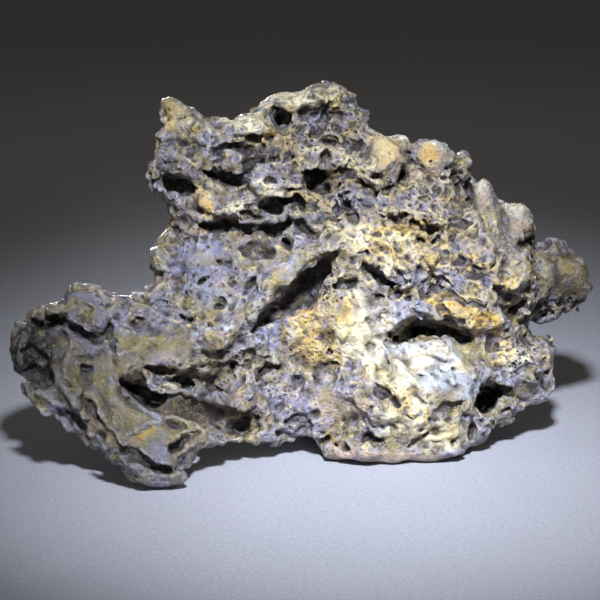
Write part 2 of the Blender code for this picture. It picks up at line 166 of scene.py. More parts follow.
# name: rows of (across, up, radius across, radius up, roll in degrees, strength)
ZONES = {
    "sponge": [
        (97.5, -3, 12.8, 5.2, 8, 1.2), (-8.2, 56.2, 9.8, 6, 0, 1.2), (16.9, 65.6, 8.2, 12.8, 0, 1),
        (1.9, 60, 9.4, 7.5, 0, 0.8), (-41.2, 27, 6.8, 5.2, 0, 1.1), (7.5, 35.6, 12.8, 7.5, 0, 0.9),
        (46.9, 33.8, 15, 11.2, 0, 0.6), (60, 12, 12.8, 5.2, 0, 0.9), (-33.8, 3.8, 15, 11.2, 0, 0.5),
        (-18.8, 0, 11.2, 11.2, 0, 0.5), (11.2, 5.6, 9.4, 7.5, 0, 0.8), (82.5, -20.6, 9.8, 7.5, 0, 0.7),
        (-7.5, -31.9, 11.2, 8.2, 0, 0.4), (-50.6, 50.6, 6, 5.2, 0, 0.6),
        (-22.5, -16.9, 10.5, 11.2, 0, 0.6), (-60, -5.6, 6, 6, 0, 0.4), (93.8, 16.9, 7.5, 6.8, 0, 0.5),
    ],
    "worn": [
        (102, 9.8, 9.8, 7.5, 0, 1), (50.6, -27, 15.8, 12.8, 0, 1.15), (18.8, -9.4, 8.2, 12.8, 0, 0.95),
        (75, 22.5, 15, 22.5, 0, 0.2), (-90, -16.9, 15, 15, 0, 0.7), (1.9, 15, 12.8, 5.2, 38, 0.35),
        (-31.9, 0, 12.8, 8.2, -20, 0.55), (52.5, -50.6, 15, 5.2, 0, 0.8),
        (-56.2, -48.8, 18.8, 10.5, -30, 1), (-75, -37.5, 11.2, 15, 0, 1),
        (-90, -26.2, 11.2, 18.8, 0, 0.8), (-56.2, -18.8, 18.8, 6.8, 0, 0.8), (31.9, 54.4, 6.8, 7.5, 0, 1),
        (50.6, 53.2, 6.8, 6.8, 0, 0.8), (69.4, 37.5, 4.5, 6.8, 0, 0.45), (81.8, 30, 6, 7.5, 0, 0.55),
        (-34.5, 36.8, 4.5, 4.5, 0, 1), (46.9, -26.2, 16.9, 11.2, 0, 0.75),
        (22.5, -11.2, 7.5, 15, 0, 0.75), (-7.5, 11.2, 8.2, 7.5, 0, 0.7),
        (-41.2, -41.2, 16.9, 6, -10, 1.1), (31.9, -57.8, 23.2, 3, 0, 0.9), (11.2, -41.2, 15, 8.2, 0, 0.5),
        (-48, 72, 6, 4.5, 0, 0.8), (-37.5, 13.1, 11.2, 6.8, 0, 0.6), (-79.5, -3.8, 8.2, 4.5, -35, 0.7),
    ],
    "ledged": [
        (30, 31.9, 33.8, 22.5, -20, 1), (56.2, 11.2, 30, 15, -25, 0.9), (3.8, 48.8, 22.5, 11.2, 0, 0.6),
        (41.2, -31.9, 30, 20.6, 0, 0.5), (20.6, -11.2, 16.9, 15, 0, 0.5), (-26.2, 37.5, 22.5, 15, 0, 0.5),
    ],
    "flowing": [
        (-73.1, -28.1, 35.6, 28.1, 0, 1), (-50.6, -48.8, 22.5, 12, 0, 0.9),
        (76.9, 22.5, 13.5, 18.8, 0, 0.6),
    ],
    "lavender": [
        (-6, 12, 9.8, 4.5, 40, 0.8), (-35.6, 60, 5.2, 6.8, 0, 0.9), (-46.9, 54.4, 6, 5.2, 0, 0.8),
        (-37.5, 11.2, 14.2, 12.8, 0, 1.05), (16.9, 68.2, 6, 6, 0, 1.1), (-7.5, 56.2, 8.2, 4.9, 0, 0.8),
        (16.9, 35.6, 8.2, 5.2, 0, 0.8), (7.5, 56.2, 6.8, 3.8, 0, 0.6), (-22.5, 7.5, 9, 8.2, 0, 0.9),
        (-9.4, -15, 8.2, 9, 0, 0.9), (-5.6, -37.5, 12.8, 9.8, 0, 1.05), (55.5, -25.5, 5.2, 6, 0, 0.6),
        (80.6, -26.2, 9.8, 7.5, 0, 1.05), (86.2, -35.6, 10.5, 4.5, 0, 0.9), (45, 37.5, 9.8, 5.2, 0, 0.5),
        (91.9, 11.2, 3.8, 6, 0, 0.35), (-67.5, -5.6, 5.2, 5.2, 0, 0.6), (-76.9, -13.9, 5.2, 3, 0, 0.7),
        (-95.6, -13.1, 6, 4.5, 0, 0.6), (-65.6, -63.8, 6.8, 3.8, 0, 0.7),
        (-88.1, -43.1, 8.2, 5.2, 0, 0.7), (11.2, 11.2, 9.8, 4.5, 0, 0.6), (52.5, 9.4, 11.2, 5.2, 0, 0.6),
        (35.6, -3.8, 9, 4.5, 0, 0.6),
    ],
    "golden": [
        (11.2, 75, 7.5, 5.2, 0, 0.5), (-16.5, 61.9, 9.8, 3.4, 0, 0.6), (-45.8, 68.2, 5.2, 4.5, 0, 0.5),
        (31.9, 22.5, 12.8, 7.5, -20, 0.8), (16.9, -9.4, 6, 12.8, 0, 0.9),
        (56.2, -2.2, 9.8, 3.8, -15, 1.1), (67.5, -8.2, 8.2, 3.8, -20, 0.8), (4.5, -13.1, 5.2, 15, 0, 0.7),
        (75, -18.8, 5.2, 4.5, 0, 0.8), (-3.8, 72.8, 3.8, 4.5, 0, 0.9), (15, 45, 11.2, 3.8, 0, 0.6),
        (48.8, 18.8, 11.2, 6, -15, 0.7), (-59.2, -51.4, 5.2, 1.7, 38, 1.4), (-20.6, 61.9, 6.8, 3, 0, 0.8),
        (1.9, 41.2, 7.5, 4.5, 0, 0.4), (41.2, -37.5, 11.2, 7.5, 0, 0.6), (52.5, -49.5, 9.8, 4.5, 0, 0.6),
        (-7.5, 60, 9.8, 5.2, 0, 0.5), (80.6, 6.4, 4.5, 3, 0, 0.9), (-52.5, -27, 12.8, 2.2, 0, 0.4),
        (63.8, 18.8, 6.8, 3.8, 0, 0.5),
    ],
    "cream": [
        (0, 75, 15, 4.5, 0, 0.9), (16.9, 56.2, 5.2, 6.8, 0, 0.5),
        (76.9, -18.8, 5.2, 3.8, 0, 0.7), (27, -24.8, 9, 7.5, 0, 0.9), (35.6, -45, 9.8, 6, 0, 0.8),
        (-18, 41.2, 3.8, 6, 0, 0.7), (-28.1, 57.8, 3, 3, 0, 0.5), (-37.5, 64.5, 5.2, 2.2, 0, 0.6),
        (63.8, 31.9, 4.5, 4.5, 0, 0.4), (18.8, 26.2, 9, 3, 0, 0.8), (0, 78, 12.8, 3.8, 0, 1),
        (-19.5, 68.2, 9.8, 3.4, 0, 0.9), (6.8, 57, 6, 3.8, 0, 0.8), (-43.1, 70.5, 4.5, 3.8, 0, 0.6),
        (20.6, 50.6, 8.2, 3.8, 0, 0.9), (35.6, 63.8, 7.5, 3.8, 0, 0.5), (50.6, 57, 8.2, 3.4, 0, 0.7),
        (67.5, 43.1, 4.5, 3.8, 0, 0.7), (79.5, 35.6, 5.2, 3.4, 0, 0.7), (11.2, 25.5, 9.8, 3, 0, 0.7),
        (52.5, 31.9, 5.2, 2.6, 0, 0.5), (18.8, -4.5, 6.4, 9.8, 0, 1.3), (29.2, -11.2, 8.2, 9, 0, 0.9),
        (82.5, -22.5, 7.5, 5.2, 0, 0.6), (22.5, -16.9, 7.5, 9, 0, 1.2), (40.5, -37.5, 12, 9.8, 0, 1.05),
        (48.8, -23.2, 15.8, 8.2, 0, 1.15), (37.5, 22.5, 18, 4.1, -15, 0.7), (19.5, 22.5, 6, 2.2, 0, 1),
        (0, 31.9, 3.8, 2.2, 0, 0.6), (-12, 40.5, 4.9, 4.5, 0, 0.9), (-16.9, 63.8, 6, 3.8, 0, 0.7),
        (52.5, -49.5, 15.8, 6, 0, 0.9), (3.8, 56.2, 5.2, 3.8, 0, 0.5), (-5.6, 76.9, 5.2, 3, 0, 0.8),
        (48.8, 14.2, 8.2, 2.6, -10, 0.8), (35.6, 13.1, 4.5, 4.5, 0, 0.7),
        (-48.8, -34.1, 8.2, 1.3, -8, 0.9), (-22.5, 35.6, 5.2, 3, 0, 0.7), (52.5, 43.9, 5.2, 3, 0, 0.7),
    ],
    "amber": [
        (-47.2, 70.5, 5.6, 4.5, 0, 0.75), (-52.5, 61.9, 3, 6, 0, 0.5), (-23.2, 62.6, 11.2, 2.6, 0, 0.45),
        (11.2, 77.6, 7.5, 2.6, 0, 0.5), (21, 56.2, 3.8, 7.5, 0, 0.5), (-35.6, -39.4, 9.8, 3, -12, 0.5),
        (72, 28.1, 6, 11.2, 0, 0.35), (-48.8, 68.2, 5.2, 4.5, 0, 0.6), (19.5, 78, 6, 3, 0, 0.5),
        (0, -8.2, 6, 12.8, 10, 1.1), (9.4, -16.9, 5.2, 9, -15, 1), (-34.5, 36.8, 4.7, 4.7, 0, 1.5),
        (31.9, 55.5, 7.1, 7.9, 0, 1.3), (48.8, 53.2, 5.2, 6, 0, 1), (2.2, -13.1, 4.5, 15, 0, 1),
        (10.5, -19.5, 4.5, 9.8, 0, 0.9), (27, -52.5, 4.5, 1.9, 0, 0.8), (101.2, 12, 6, 3.4, -20, 0.8),
        (-5.6, 6.8, 4.5, 4.5, 0, 0.6), (-33, -15, 5.2, 3.8, 0, 0.7), (-37.5, 14.2, 5.2, 4.5, 0, 0.35),
    ],
    "olive": [
        (-67.5, -45, 22.5, 9.8, -38, 0.7), (-86.2, -31.9, 11.2, 15, 0, 0.5),
        (100.5, 14.2, 9, 4.5, -20, 0.7), (75, 33, 13.5, 3.8, -35, 0.4), (-41.2, 65.6, 11.2, 4.5, 10, 0.8),
        (-55.5, 50.6, 3, 7.5, 0, 0.9), (-37.5, 41.2, 18.8, 3.8, 0, 0.5), (11.2, 76.9, 9.8, 3.8, 0, 0.7),
        (97.5, 3.8, 9.8, 3.8, 0, 0.5), (46.9, -11.2, 11.2, 2.6, 0, 0.8), (-71.2, -27, 11.2, 15, -30, 0.7),
        (-90, -22.5, 11.2, 15, 0, 0.6), (-46.9, 72, 7.5, 5.6, 0, 1.2),
        (-55.1, 56.2, 3, 9, 0, 1), (-51.8, 16.9, 4.1, 5.6, 0, 1), (-98.2, -4.5, 12.8, 4.5, 0, 1.2),
        (-106.9, -18.8, 3.8, 9.8, 0, 1.1), (-80.6, -4.5, 7.5, 4.9, -35, 0.7),
        (-63.8, -0.8, 6, 3.4, 0, 0.5), (103.1, 14.2, 7.5, 5.6, 0, 1), (98.2, 5.2, 9, 3.8, 0, 0.9),
        (-56.2, -17.2, 15, 5.6, -15, 0.8), (-24.4, 69.4, 8.2, 3.4, 0, 0.7),
        (-82.5, -24.4, 6, 8.2, 0, 0.7), (54.4, -8.6, 8.2, 1.9, 0, 0.8), (9.4, 80.6, 9.8, 3, 0, 0.6),
        (61.9, 49.5, 4.5, 5.2, 0, 0.6), (-52.5, 50.6, 5.2, 7.5, 0, 0.4),
    ],
    "pale_blue": [
        (48.8, -25.1, 16.5, 10.5, 0, 1), (37.5, -19.5, 7.5, 4.5, 0, 0.6), (63, -31.9, 8.2, 6.8, 0, 0.7),
        (-28.1, 0, 11.2, 6, -10, 0.5), (-6, 14.2, 7.5, 4.5, 40, 0.55), (0, 19.5, 3.8, 2.2, 0, 0.5),
        (-31.9, -9.4, 6.8, 2.2, 0, 1), (-41.2, -11.2, 7.5, 3.4, 0, 0.8), (45.8, -18, 12, 3.4, 0, 0.8),
        (-16.5, 43.1, 2.6, 6.8, 0, 0.9), (-56.2, -43.1, 7.5, 2.6, -30, 0.5),
    ],
    "beige": [
        (69.4, 28.1, 7.5, 15, 0, 1), (81.8, 29.2, 6.8, 8.2, 0, 1.1), (75, 16.9, 9, 9, 0, 0.8),
        (63.8, 0, 7.5, 3, 0, 0.4), (48.8, 35.6, 11.2, 4.5, 0, 0.5), (-71.2, -43.1, 9, 8.2, 0, 0.5),
    ],
    "rosy": [
        (28.1, -57.8, 26.2, 3.4, 0, 1.2), (16.9, -11.2, 6, 3.8, 0, 0.4), (-3.8, -35.6, 9.8, 6, 0, 0.5),
        (-28.1, 5.6, 6, 3.8, 0, 0.5), (13.1, -42, 11.2, 8.2, 0, 0.7), (49.5, 46.5, 6, 3.4, 0, 1),
        (26.2, 50.6, 4.5, 3.4, 0, 0.8), (31.9, -1.9, 5.2, 2.2, 0, 0.6), (43.1, -52.5, 7.5, 3, 0, 0.4),
        (-26.2, 11.2, 7.5, 3.8, 0, 0.4), (67.5, -44.2, 5.2, 6, 0, 0.5),
    ],
    "rust": [
        (-41.2, -41.6, 16.5, 4.9, -8, 1.5), (-24.4, -42, 5.2, 3.8, 0, 1), (-16.5, 18, 6.4, 3.8, 0, 1),
        (-10.5, 52.5, 9, 4.5, 0, 0.5), (7.5, 43.1, 7.5, 4.5, 0, 0.7), (11.2, 12, 7.5, 4.5, 0, 0.6),
        (0, 3, 9.8, 6.8, -45, 0.9), (41.2, 28.1, 11.2, 5.2, 0, 0.5), (31.9, 3.8, 9, 3.8, -20, 0.5),
        (-63.8, -28.5, 9, 1.9, 0, 0.8), (-28.1, 46.5, 9.8, 3.4, 0, 0.8), (-78.8, -8.2, 6, 3, 0, 0.5),
        (60, 7.5, 11.2, 3.8, 0, 0.4),
    ],
    # painted shadow: laid in holes, clefts and under overhangs, where shade falls
    "painted_shadow": [
        (-97.5, -17.2, 7.9, 11.6, 0, 0.8), (-99, -27.8, 6, 6, 0, 0.5), (-19.1, 47.2, 1.9, 6, 0, 1),
        (-29.2, 54, 2.6, 1.9, 0, 0.9), (-40.9, 56.2, 1.9, 3.8, 0, 0.8), (-49.5, 59.2, 3.4, 1.5, 0, 0.8),
        (17.2, 74.2, 3.8, 1.5, 0, 0.7), (1.5, 73.1, 1.9, 1.5, 0, 0.6), (1.9, 67.5, 1.9, 1.1, 0, 0.6),
        (0.4, 64.1, 1.9, 1.5, 0, 0.8), (5.6, 63, 3.4, 1.9, -20, 0.8), (9, 69.8, 1.5, 6, 15, 0.7),
        (20.2, 65.2, 1.5, 1.5, 0, 0.8), (15.8, 62.2, 1.9, 1.5, 0, 0.7), (20.2, 57.4, 3.8, 1.5, 0, 0.7),
        (17.2, 54, 1.9, 1.1, 0, 0.7), (-0.8, 35.2, 3, 2.2, 0, 0.9), (17.2, 34.5, 3, 2.6, 0, 0.7),
        (38.2, 31.1, 3, 1.5, 0, 0.8), (49.5, 27, 3, 1.5, 0, 0.7), (44.2, 22.1, 3, 1.1, 0, 0.7),
        (52.5, 22.1, 3, 1.5, -20, 0.7), (61.1, 29.2, 2.6, 1.9, 0, 0.7), (-5.2, 21, 2.6, 1.9, 0, 0.8),
        (3, 25.9, 3.4, 1.5, 0, 0.8), (17.6, 46.5, 4.5, 1.9, 0, 0.9), (34.5, 43.5, 3, 1.5, -20, 0.8),
        (38.2, 45.8, 1.9, 1.5, 0, 0.7), (40.5, 52.5, 1.1, 2.2, 0, 0.7), (30.8, 7.9, 2.6, 1.5, -30, 0.8),
        (36.8, 1.9, 1.9, 1.5, 0, 0.9), (63.8, 39, 1.5, 3.8, 0, 0.9), (84, 21, 3.8, 1.5, 0, 0.9),
        (76.5, 1.9, 3.4, 1.1, -15, 0.7), (83.2, -1.5, 3.4, 1.1, -20, 0.7), (87.8, 11.2, 1.1, 9, 0, 0.6),
        (93.8, -15.8, 1.9, 3.4, 30, 0.9), (67.5, 8.2, 4.5, 1.5, -15, 0.7), (16.9, 4.9, 3.8, 1.5, 0, 0.7),
        (29.2, 1.9, 3.4, 1.1, 0, 0.6), (-19.5, 5.2, 1.5, 1.9, 0, 0.8), (-36, 6.8, 1.5, 1.1, 0, 0.7),
        (-41.2, -6.4, 2.6, 1.1, 0, 0.7), (30.8, -34.1, 1.9, 1.1, -20, 0.4), (36, -38.6, 1.5, 1.1, 0, 0.6),
        (56.6, -39.8, 3.4, 1.1, 10, 0.8), (16.9, -55.5, 1.9, 1.9, 0, 0.8),
        (27.8, -52.5, 3.8, 1.1, 0, 0.7), (-1.1, -45, 4.1, 1.5, 0, 0.7), (5.6, -43.1, 1.9, 1.1, 0, 0.7),
        (-78.8, -13.5, 6, 1.5, -35, 0.9), (-72.4, -12.4, 1.9, 2.6, 0, 0.9),
        (-52.5, -27.4, 4.9, 0.9, -5, 0.9), (-44.2, -31.1, 3.8, 1.5, -30, 1),
        (-79.9, -26.6, 2.2, 1.5, 0, 0.8), (-46.5, -47.6, 3, 0.8, 0, 0.7),
        (-42.8, -52.9, 5.2, 0.9, 25, 0.7), (-52.5, -63.8, 6, 1.1, -15, 0.8),
        (-10.5, -25.5, 3.4, 1.5, 30, 0.8), (-26.2, -26.6, 1.5, 1.1, 0, 0.8), (-23.2, -48.8, 6.4, 3, 0, 1),
        (-17.2, -42.8, 3.8, 3, 0, 1), (-59.2, -36, 9, 3, -36, 1.1), (-0.8, 3.4, 10.5, 2.6, 45, 0.6),
        (97.5, -1.1, 11.2, 2.2, 8, 0.8), (-20.2, 26.6, 15.8, 1.5, -4, 0.8), (6, 43.5, 5.2, 3, 0, 0.8),
        (-25.5, 45.8, 6.8, 1.9, -6, 0.8), (-48, 43.1, 6, 1.9, -10, 0.8), (36, -15.8, 4.1, 1.9, 0, 0.8),
        (45, -12, 3, 2.2, 45, 0.8), (70.5, -38.2, 4.5, 3.4, 0, 0.8), (-6.8, 68.6, 2.6, 2.6, 0, 0.8),
        (-10.1, 34.1, 3.4, 2.2, 0, 0.8), (-14.2, -30.8, 1.9, 6, 10, 0.6),
    ],
    # painted shade: where the key light falls off, on the arm, its left end and the tip, and in shaded
    # recesses
    "painted_dimming": [
        (18.8, -9.4, 9.8, 15, 0, 0.16), (0, -33.8, 22.5, 12.8, 0, 0.16),
        (101.2, 11.2, 12.8, 12.8, 0, 0.2), (31.9, 55.5, 8.2, 8.2, 0, 0.2),
        (73.1, 28.1, 16.5, 16.5, 0, 0.1),
        (97.5, -4.5, 13.5, 3.8, 10, 0.45), (-31.1, 7.5, 19.5, 15, 0, 0.28),
        (15, 35.6, 18.8, 11.2, 0, 0.6), (0, 33, 23.2, 9.8, 0, 0.6), (48.8, 22.5, 22.5, 17.2, 0, 0.22),
        (19.5, -9.8, 9, 12.8, 0, 0.2), (-75, -30, 26.2, 22.5, 0, 0.75), (-9.4, 55.5, 12.8, 5.6, 0, 0.95),
        (-49.5, 52.5, 6.8, 4.9, 0, 0.6), (16.9, 67.5, 6.4, 11.2, 0, 0.45),
        (-25.5, 24.8, 15, 4.5, -4, 0.4), (97.5, 8.2, 9.8, 12.8, 0, 0.5),
        (100.5, -0.4, 10.5, 3.4, 8, 0.8), (2.2, 4.5, 12.8, 4.9, 45, 0.6), (-16.5, 18.8, 9, 4.9, -10, 0.5),
        (-41.2, 27, 7.5, 4.5, 0, 0.5), (16.9, 68.2, 7.5, 9.8, 0, 0.3), (45, 30, 18.8, 5.2, -10, 0.25),
        (-90, -18.8, 28.1, 28.1, 0, 0.9), (-71.2, -48.8, 33.8, 18.8, -30, 0.68),
        (-56.2, -11.2, 22.5, 15, 0, 0.5), (100.5, 10.5, 11.2, 12, 0, 0.75),
        (-46.9, -63.8, 18.8, 9.8, 0, 0.6), (-36.8, -40.5, 18.8, 6.4, -8, 1.3),
        (71.2, 31.9, 15, 15, 0, 0.15), (-50.6, 31.9, 11.2, 22.5, 0, 0.15), (15, 35.6, 22.5, 11.2, 0, 0.2),
        (-99.4, -20.6, 13.5, 20.2, 0, 1.4),
    ],
    "brown": [
        (-39, -41.6, 14.2, 4.9, -8, 1.7), (100.5, 1.5, 9.8, 3.8, 8, 0.5), (-33, -15.4, 3.8, 3, 0, 0.7),
        (-42.8, -40.9, 14.2, 4.5, -10, 1.3), (-27.8, -42, 6, 3.4, 0, 0.9),
        (-16.5, 18.4, 5.6, 3.4, 0, 0.9), (0, 4.1, 10.5, 3.8, 45, 1), (-29.2, 44.6, 6.8, 1.9, 0, 0.7),
        (9.4, 42.4, 4.5, 2.2, 0, 0.7), (-90, -27, 6, 7.5, 0, 0.5), (-79.5, -8.2, 6, 1.9, -35, 0.6),
        (102, 5.6, 7.5, 5.2, 0, 0.6), (48.8, -10.9, 5.2, 1.5, 0, 0.5),
    ],
    # painted shade: deep brown where the light falls off at the left end and the tip, and in crevices and
    # under lobes
    "shade_brown": [
        (-9, 55.1, 11.2, 3, -5, 0.6), (13.5, 69, 4.5, 5.2, 0, 0.45), (0, 48, 9.8, 2.6, 0, 0.5),
        (-35.2, 49.5, 6.8, 2.2, 0, 0.45), (-20.2, 56.2, 6, 2.2, 0, 0.5), (97.5, 10.5, 7.5, 11.2, 0, 0.5),
        (-100.1, -22.5, 6.8, 10.5, 0, 1), (-95.6, -8.2, 9, 2.2, 0, 1), (-48, 43.5, 8.2, 2.6, -12, 1.1),
        (-27, 45.8, 9.8, 3, -6, 1.1), (-18.8, 51.4, 3.4, 5.2, 0, 1), (-20.6, 27, 16.5, 2.6, -4, 1.1),
        (6, 43.5, 6.8, 4.5, 0, 1), (17.2, 48, 5.2, 1.9, 0, 1), (94.5, -3.8, 13.5, 3, 8, 0.9),
        (-55.5, -36.8, 9, 3.4, -25, 1.2), (-78.8, -52.5, 13.5, 3.4, -42, 0.9),
        (9.4, 68.2, 2.6, 9.8, 20, 0.6), (95.6, 21.8, 6.8, 3.4, 0, 0.6), (-86.2, -37.5, 9, 5.2, -40, 0.5),
        (-67.5, -58.1, 9.8, 3.4, -30, 0.8), (-5.6, 0.8, 9.8, 3.4, 40, 0.8),
    ],
}


def zone(places, name):
    """How much a place belongs to a zone, from 0 to its strength."""
    best = np.zeros(len(places), np.float32)
    seen_across, seen_up = as_seen(places)
    for across, up, wide, tall, roll, strength in ZONES[name]:
        a, u = seen_across - across, seen_up - up
        turn = math.radians(roll)
        x = (a * math.cos(turn) + u * math.sin(turn)) / wide
        y = (u * math.cos(turn) - a * math.sin(turn)) / tall
        near = np.clip(1.35 - np.sqrt(x * x + y * y), 0, 1)
        best = np.maximum(best, strength * near * near * (3 - 2 * near))
    return best


# ---------------------------------------------------------------- the distance field

def spline_weights(coarse, fine):
    """Cubic B-spline weights that take a coarse row of values to a fine one."""
    weights = np.zeros((fine, coarse), np.float32)
    for row in range(fine):
        t = row / REFINE
        cell = int(t)
        f = t - cell
        shares = ((1 - f) ** 3, 3 * f**3 - 6 * f**2 + 4, -3 * f**3 + 3 * f**2 + 3 * f + 1, f**3)
        for k, share in enumerate(shares):
            column = min(max(cell - 1 + k, 0), coarse - 1)
            weights[row, column] += share / 6
    return weights


def refine_axis(values, axis):
    count = (values.shape[axis] - 1) * REFINE + 1
    moved = np.moveaxis(values, axis, 0)
    flat = spline_weights(len(moved), count) @ np.ascontiguousarray(moved).reshape(len(moved), -1)
    return np.moveaxis(flat.reshape((count,) + moved.shape[1:]), 0, axis)


def read_solid(obj):
    """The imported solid's corners in millimetres, and its triangles."""
    mesh = obj.data
    points = np.empty(len(mesh.vertices) * 3, np.float32)
    mesh.vertices.foreach_get("co", points)
    mesh.calc_loop_triangles()
    corners = np.empty(len(mesh.loop_triangles) * 3, np.int32)
    mesh.loop_triangles.foreach_get("vertices", corners)
    return points.reshape(-1, 3) / MM, corners.reshape(-1, 3).astype(np.uint32)


class Field:
    """A dense distance field in millimetres: negative inside the stone."""

    def __init__(self, points, triangles):
        self.low = points.min(0) - MARGIN
        count = np.ceil((points.max(0) + MARGIN - self.low) / COARSE).astype(int) + 1
        grid = openvdb.FloatGrid.createLevelSetFromPolygons(
            points=np.ascontiguousarray((points - self.low) / COARSE),
            triangles=triangles,
            halfWidth=LEVEL_SET_REACH,
        )
        coarse = np.empty(tuple(count), np.float32)
        grid.copyToArray(coarse)
        coarse *= COARSE
        for axis in (0, 1, 2):
            coarse = refine_axis(coarse, axis)
        self.values = np.ascontiguousarray(coarse)
        self.base = self.values.copy()

    def sample(self, points, values=None):
        """Trilinear values at world points."""
        values = self.values if values is None else values
        size = np.array(values.shape)
        q = np.clip((points - self.low) / VOXEL, 0, size - 1.001).astype(np.float32)
        cell = q.astype(np.int32)
        t = q - cell
        flat = values.ravel()
        step_x, step_y = size[1] * size[2], size[2]
        start = cell[:, 0] * step_x + cell[:, 1] * step_y + cell[:, 2]
        total = 0
        for i in (0, 1):
            wx = t[:, 0] if i else 1 - t[:, 0]
            for j in (0, 1):
                wy = wx * (t[:, 1] if j else 1 - t[:, 1])
                at = start + i * step_x + j * step_y
                total = total + wy * (flat[at] * (1 - t[:, 2]) + flat[at + 1] * t[:, 2])
        return total

    def normals(self, points, reach=1.0):
        """The way out of the stone at world points."""
        slope = np.empty_like(points)
        for axis in range(3):
            step = np.zeros(3, np.float32)
            step[axis] = reach
            slope[:, axis] = self.sample(points + step) - self.sample(points - step)
        return slope / np.maximum(np.linalg.norm(slope, axis=1, keepdims=True), 1e-6)

    def settle(self, points, rounds=3):
        """Moves points on to the surface."""
        for _ in range(rounds):
            normals = self.normals(points)
            points = points - normals * self.sample(points)[:, None]
        return points, self.normals(points)

    def band_points(self, depth):
        """Which grid points lie within a depth of the surface, and their places in the grid."""
        index = np.flatnonzero(np.abs(self.values.ravel()) < depth)
        plane = self.values.shape[1] * self.values.shape[2]
        i, rest = np.divmod(index, plane)
        j, k = np.divmod(rest, self.values.shape[2])
        return index, (i, j, k)

    def reshape_band(self, depth, change):
        """Sets the values near the surface to change(world points), in chunks on all cores."""
        index, (i, j, k) = self.band_points(depth)
        flat = self.values.ravel()
        result = np.empty(len(index), np.float32)

        def work(start):
            part = slice(start, start + CHUNK)
            cells = np.stack((i[part], j[part], k[part]), 1).astype(np.float32)
            result[part] = change(self.low + cells * np.float32(VOXEL))

        with ThreadPoolExecutor(WORKERS) as pool:
            list(pool.map(work, range(0, len(index), CHUNK)))
        flat[index] = result
        self.values = flat.reshape(self.values.shape)

    def block(self, centre, reach):
        """The part of the grid within reach of a point, and its coordinates about that point."""
        size = np.array(self.values.shape)
        first = np.maximum(np.floor((centre - reach - self.low) / VOXEL).astype(int), 0)
        last = np.minimum(np.ceil((centre + reach - self.low) / VOXEL).astype(int) + 1, size)
        if (last <= first).any():
            return None, None
        axes = [
            (self.low[a] + VOXEL * np.arange(first[a], last[a]) - centre[a]).astype(np.float32)
            for a in range(3)
        ]
        view = self.values[first[0]:last[0], first[1]:last[1], first[2]:last[2]]
        return view, np.meshgrid(*axes, indexing="ij", sparse=True)

    def ellipsoid(self, centre, axes, radii, blend, carve):
        """Carves or adds one soft ellipsoid whose axes are the rows of axes."""
        view, xyz = self.block(centre, float(max(radii)) + blend + VOXEL)
        if view is None:
            return
        k0, k1 = 0, 0
        for axis, radius in zip(axes, radii):
            along = (xyz[0] * axis[0] + xyz[1] * axis[1] + xyz[2] * axis[2]) / radius
            k0 = k0 + along * along
            k1 = k1 + along * along / (radius * radius)
        distance = np.sqrt(k0) * (np.sqrt(k0) - 1) / np.maximum(np.sqrt(k1), 1e-6)
        if carve:
            distance = -distance
        share = np.maximum(blend - np.abs(view - distance), 0) / blend
        fillet = share * share * (blend / 4)
        view[...] = np.maximum(view, distance) + fillet if carve else np.minimum(view, distance) - fillet


# ---------------------------------------------------------------- broad and fine shaping

WARP = 1.05  # how far the broad shaping drags the field about
FINE_WARP = 0.95
DIP = math.radians(-22)  # of the rock's layers, down to the right
ARM_DIP = math.radians(-40)  # of the flow lines on the arm


def fade_at_feet(points):
    """0 at the ground and 1 a few millimetres up, so the worn feet keep their shape."""
    t = np.clip((points[:, 2] - 0.6) / 4.0, 0, 1)
    return t * t * (3 - 2 * t)


def layered(points, dip):
    """Coordinates along and across the dipping layers, the same all round the stone."""
    along = points[:, 0] * math.cos(dip) + points[:, 2] * math.sin(dip)
    across = points[:, 2] * math.cos(dip) - points[:, 0] * math.sin(dip)
    return np.stack((along, across, points[:, 1]), 1)


def shelves(points, dip, thickness, seed):
    """0 to 1: shelves that swell downwards and then cut back sharply, broken along their length."""
    layers = layered(points, dip)
    wobble = 0.8 * noise(points, thickness * 2.1, seed) + 0.35 * noise(points, thickness * 0.9, seed + 1)
    t = -layers[:, 1] / thickness + 0.25 * layers[:, 2] / thickness + wobble
    f = t - np.floor(t)
    swell = np.where(f < 0.82, f / 0.82, (1 - f) / 0.18)
    broken = noise(layers, (thickness * 1.9, thickness * 0.8, thickness * 1.3), seed + 2)
    return swell * np.clip(0.55 + 0.9 * broken, 0, 1.2)


def broad_shape(field):
    """Drags the surface about, then adds unevenness, ridges, ledges and the arm's folds."""
    source = field.values.copy()

    def change(points):
        foot = fade_at_feet(points)
        places = to_face(points)
        drag = drifts(points, 8.0, 3) + 0.55 * drifts(points, 3.8, 13)
        worn, ledged = zone(places, "worn"), zone(places, "ledged")
        moved = points + drag * (WARP * foot * (1 - 0.6 * np.clip(worn, 0, 1)))[:, None]
        shaped = field.sample(moved, source)
        flowing = np.clip(zone(places, "flowing"), 0, 1)
        rough = np.clip(1.0 - 0.8 * worn, 0.2, 1)
        relief = 0.9 * fractal(moved, 9.0, 40, 2) * rough
        relief += 0.65 * (ridged(moved, 6.5, 50) - 0.45) * rough
        body = np.clip(0.45 + 0.6 * ledged - 0.8 * flowing - 0.3 * worn, 0, 1)
        relief += 1.5 * (shelves(moved, DIP, 8.5, 60) - 0.4) * body
        relief += 1.1 * (shelves(moved, DIP, 4.2, 64) - 0.4) * body
        folds = ridged(layered(moved, ARM_DIP), (30.0, 5.5, 16.0), 70, 1)
        folds += 0.45 * ridged(layered(moved, ARM_DIP), (18.0, 2.3, 10.0), 74, 1)
        relief += 0.9 * (folds - 0.6) * flowing
        return shaped - relief * foot

    field.reshape_band(BROAD_BAND, change)


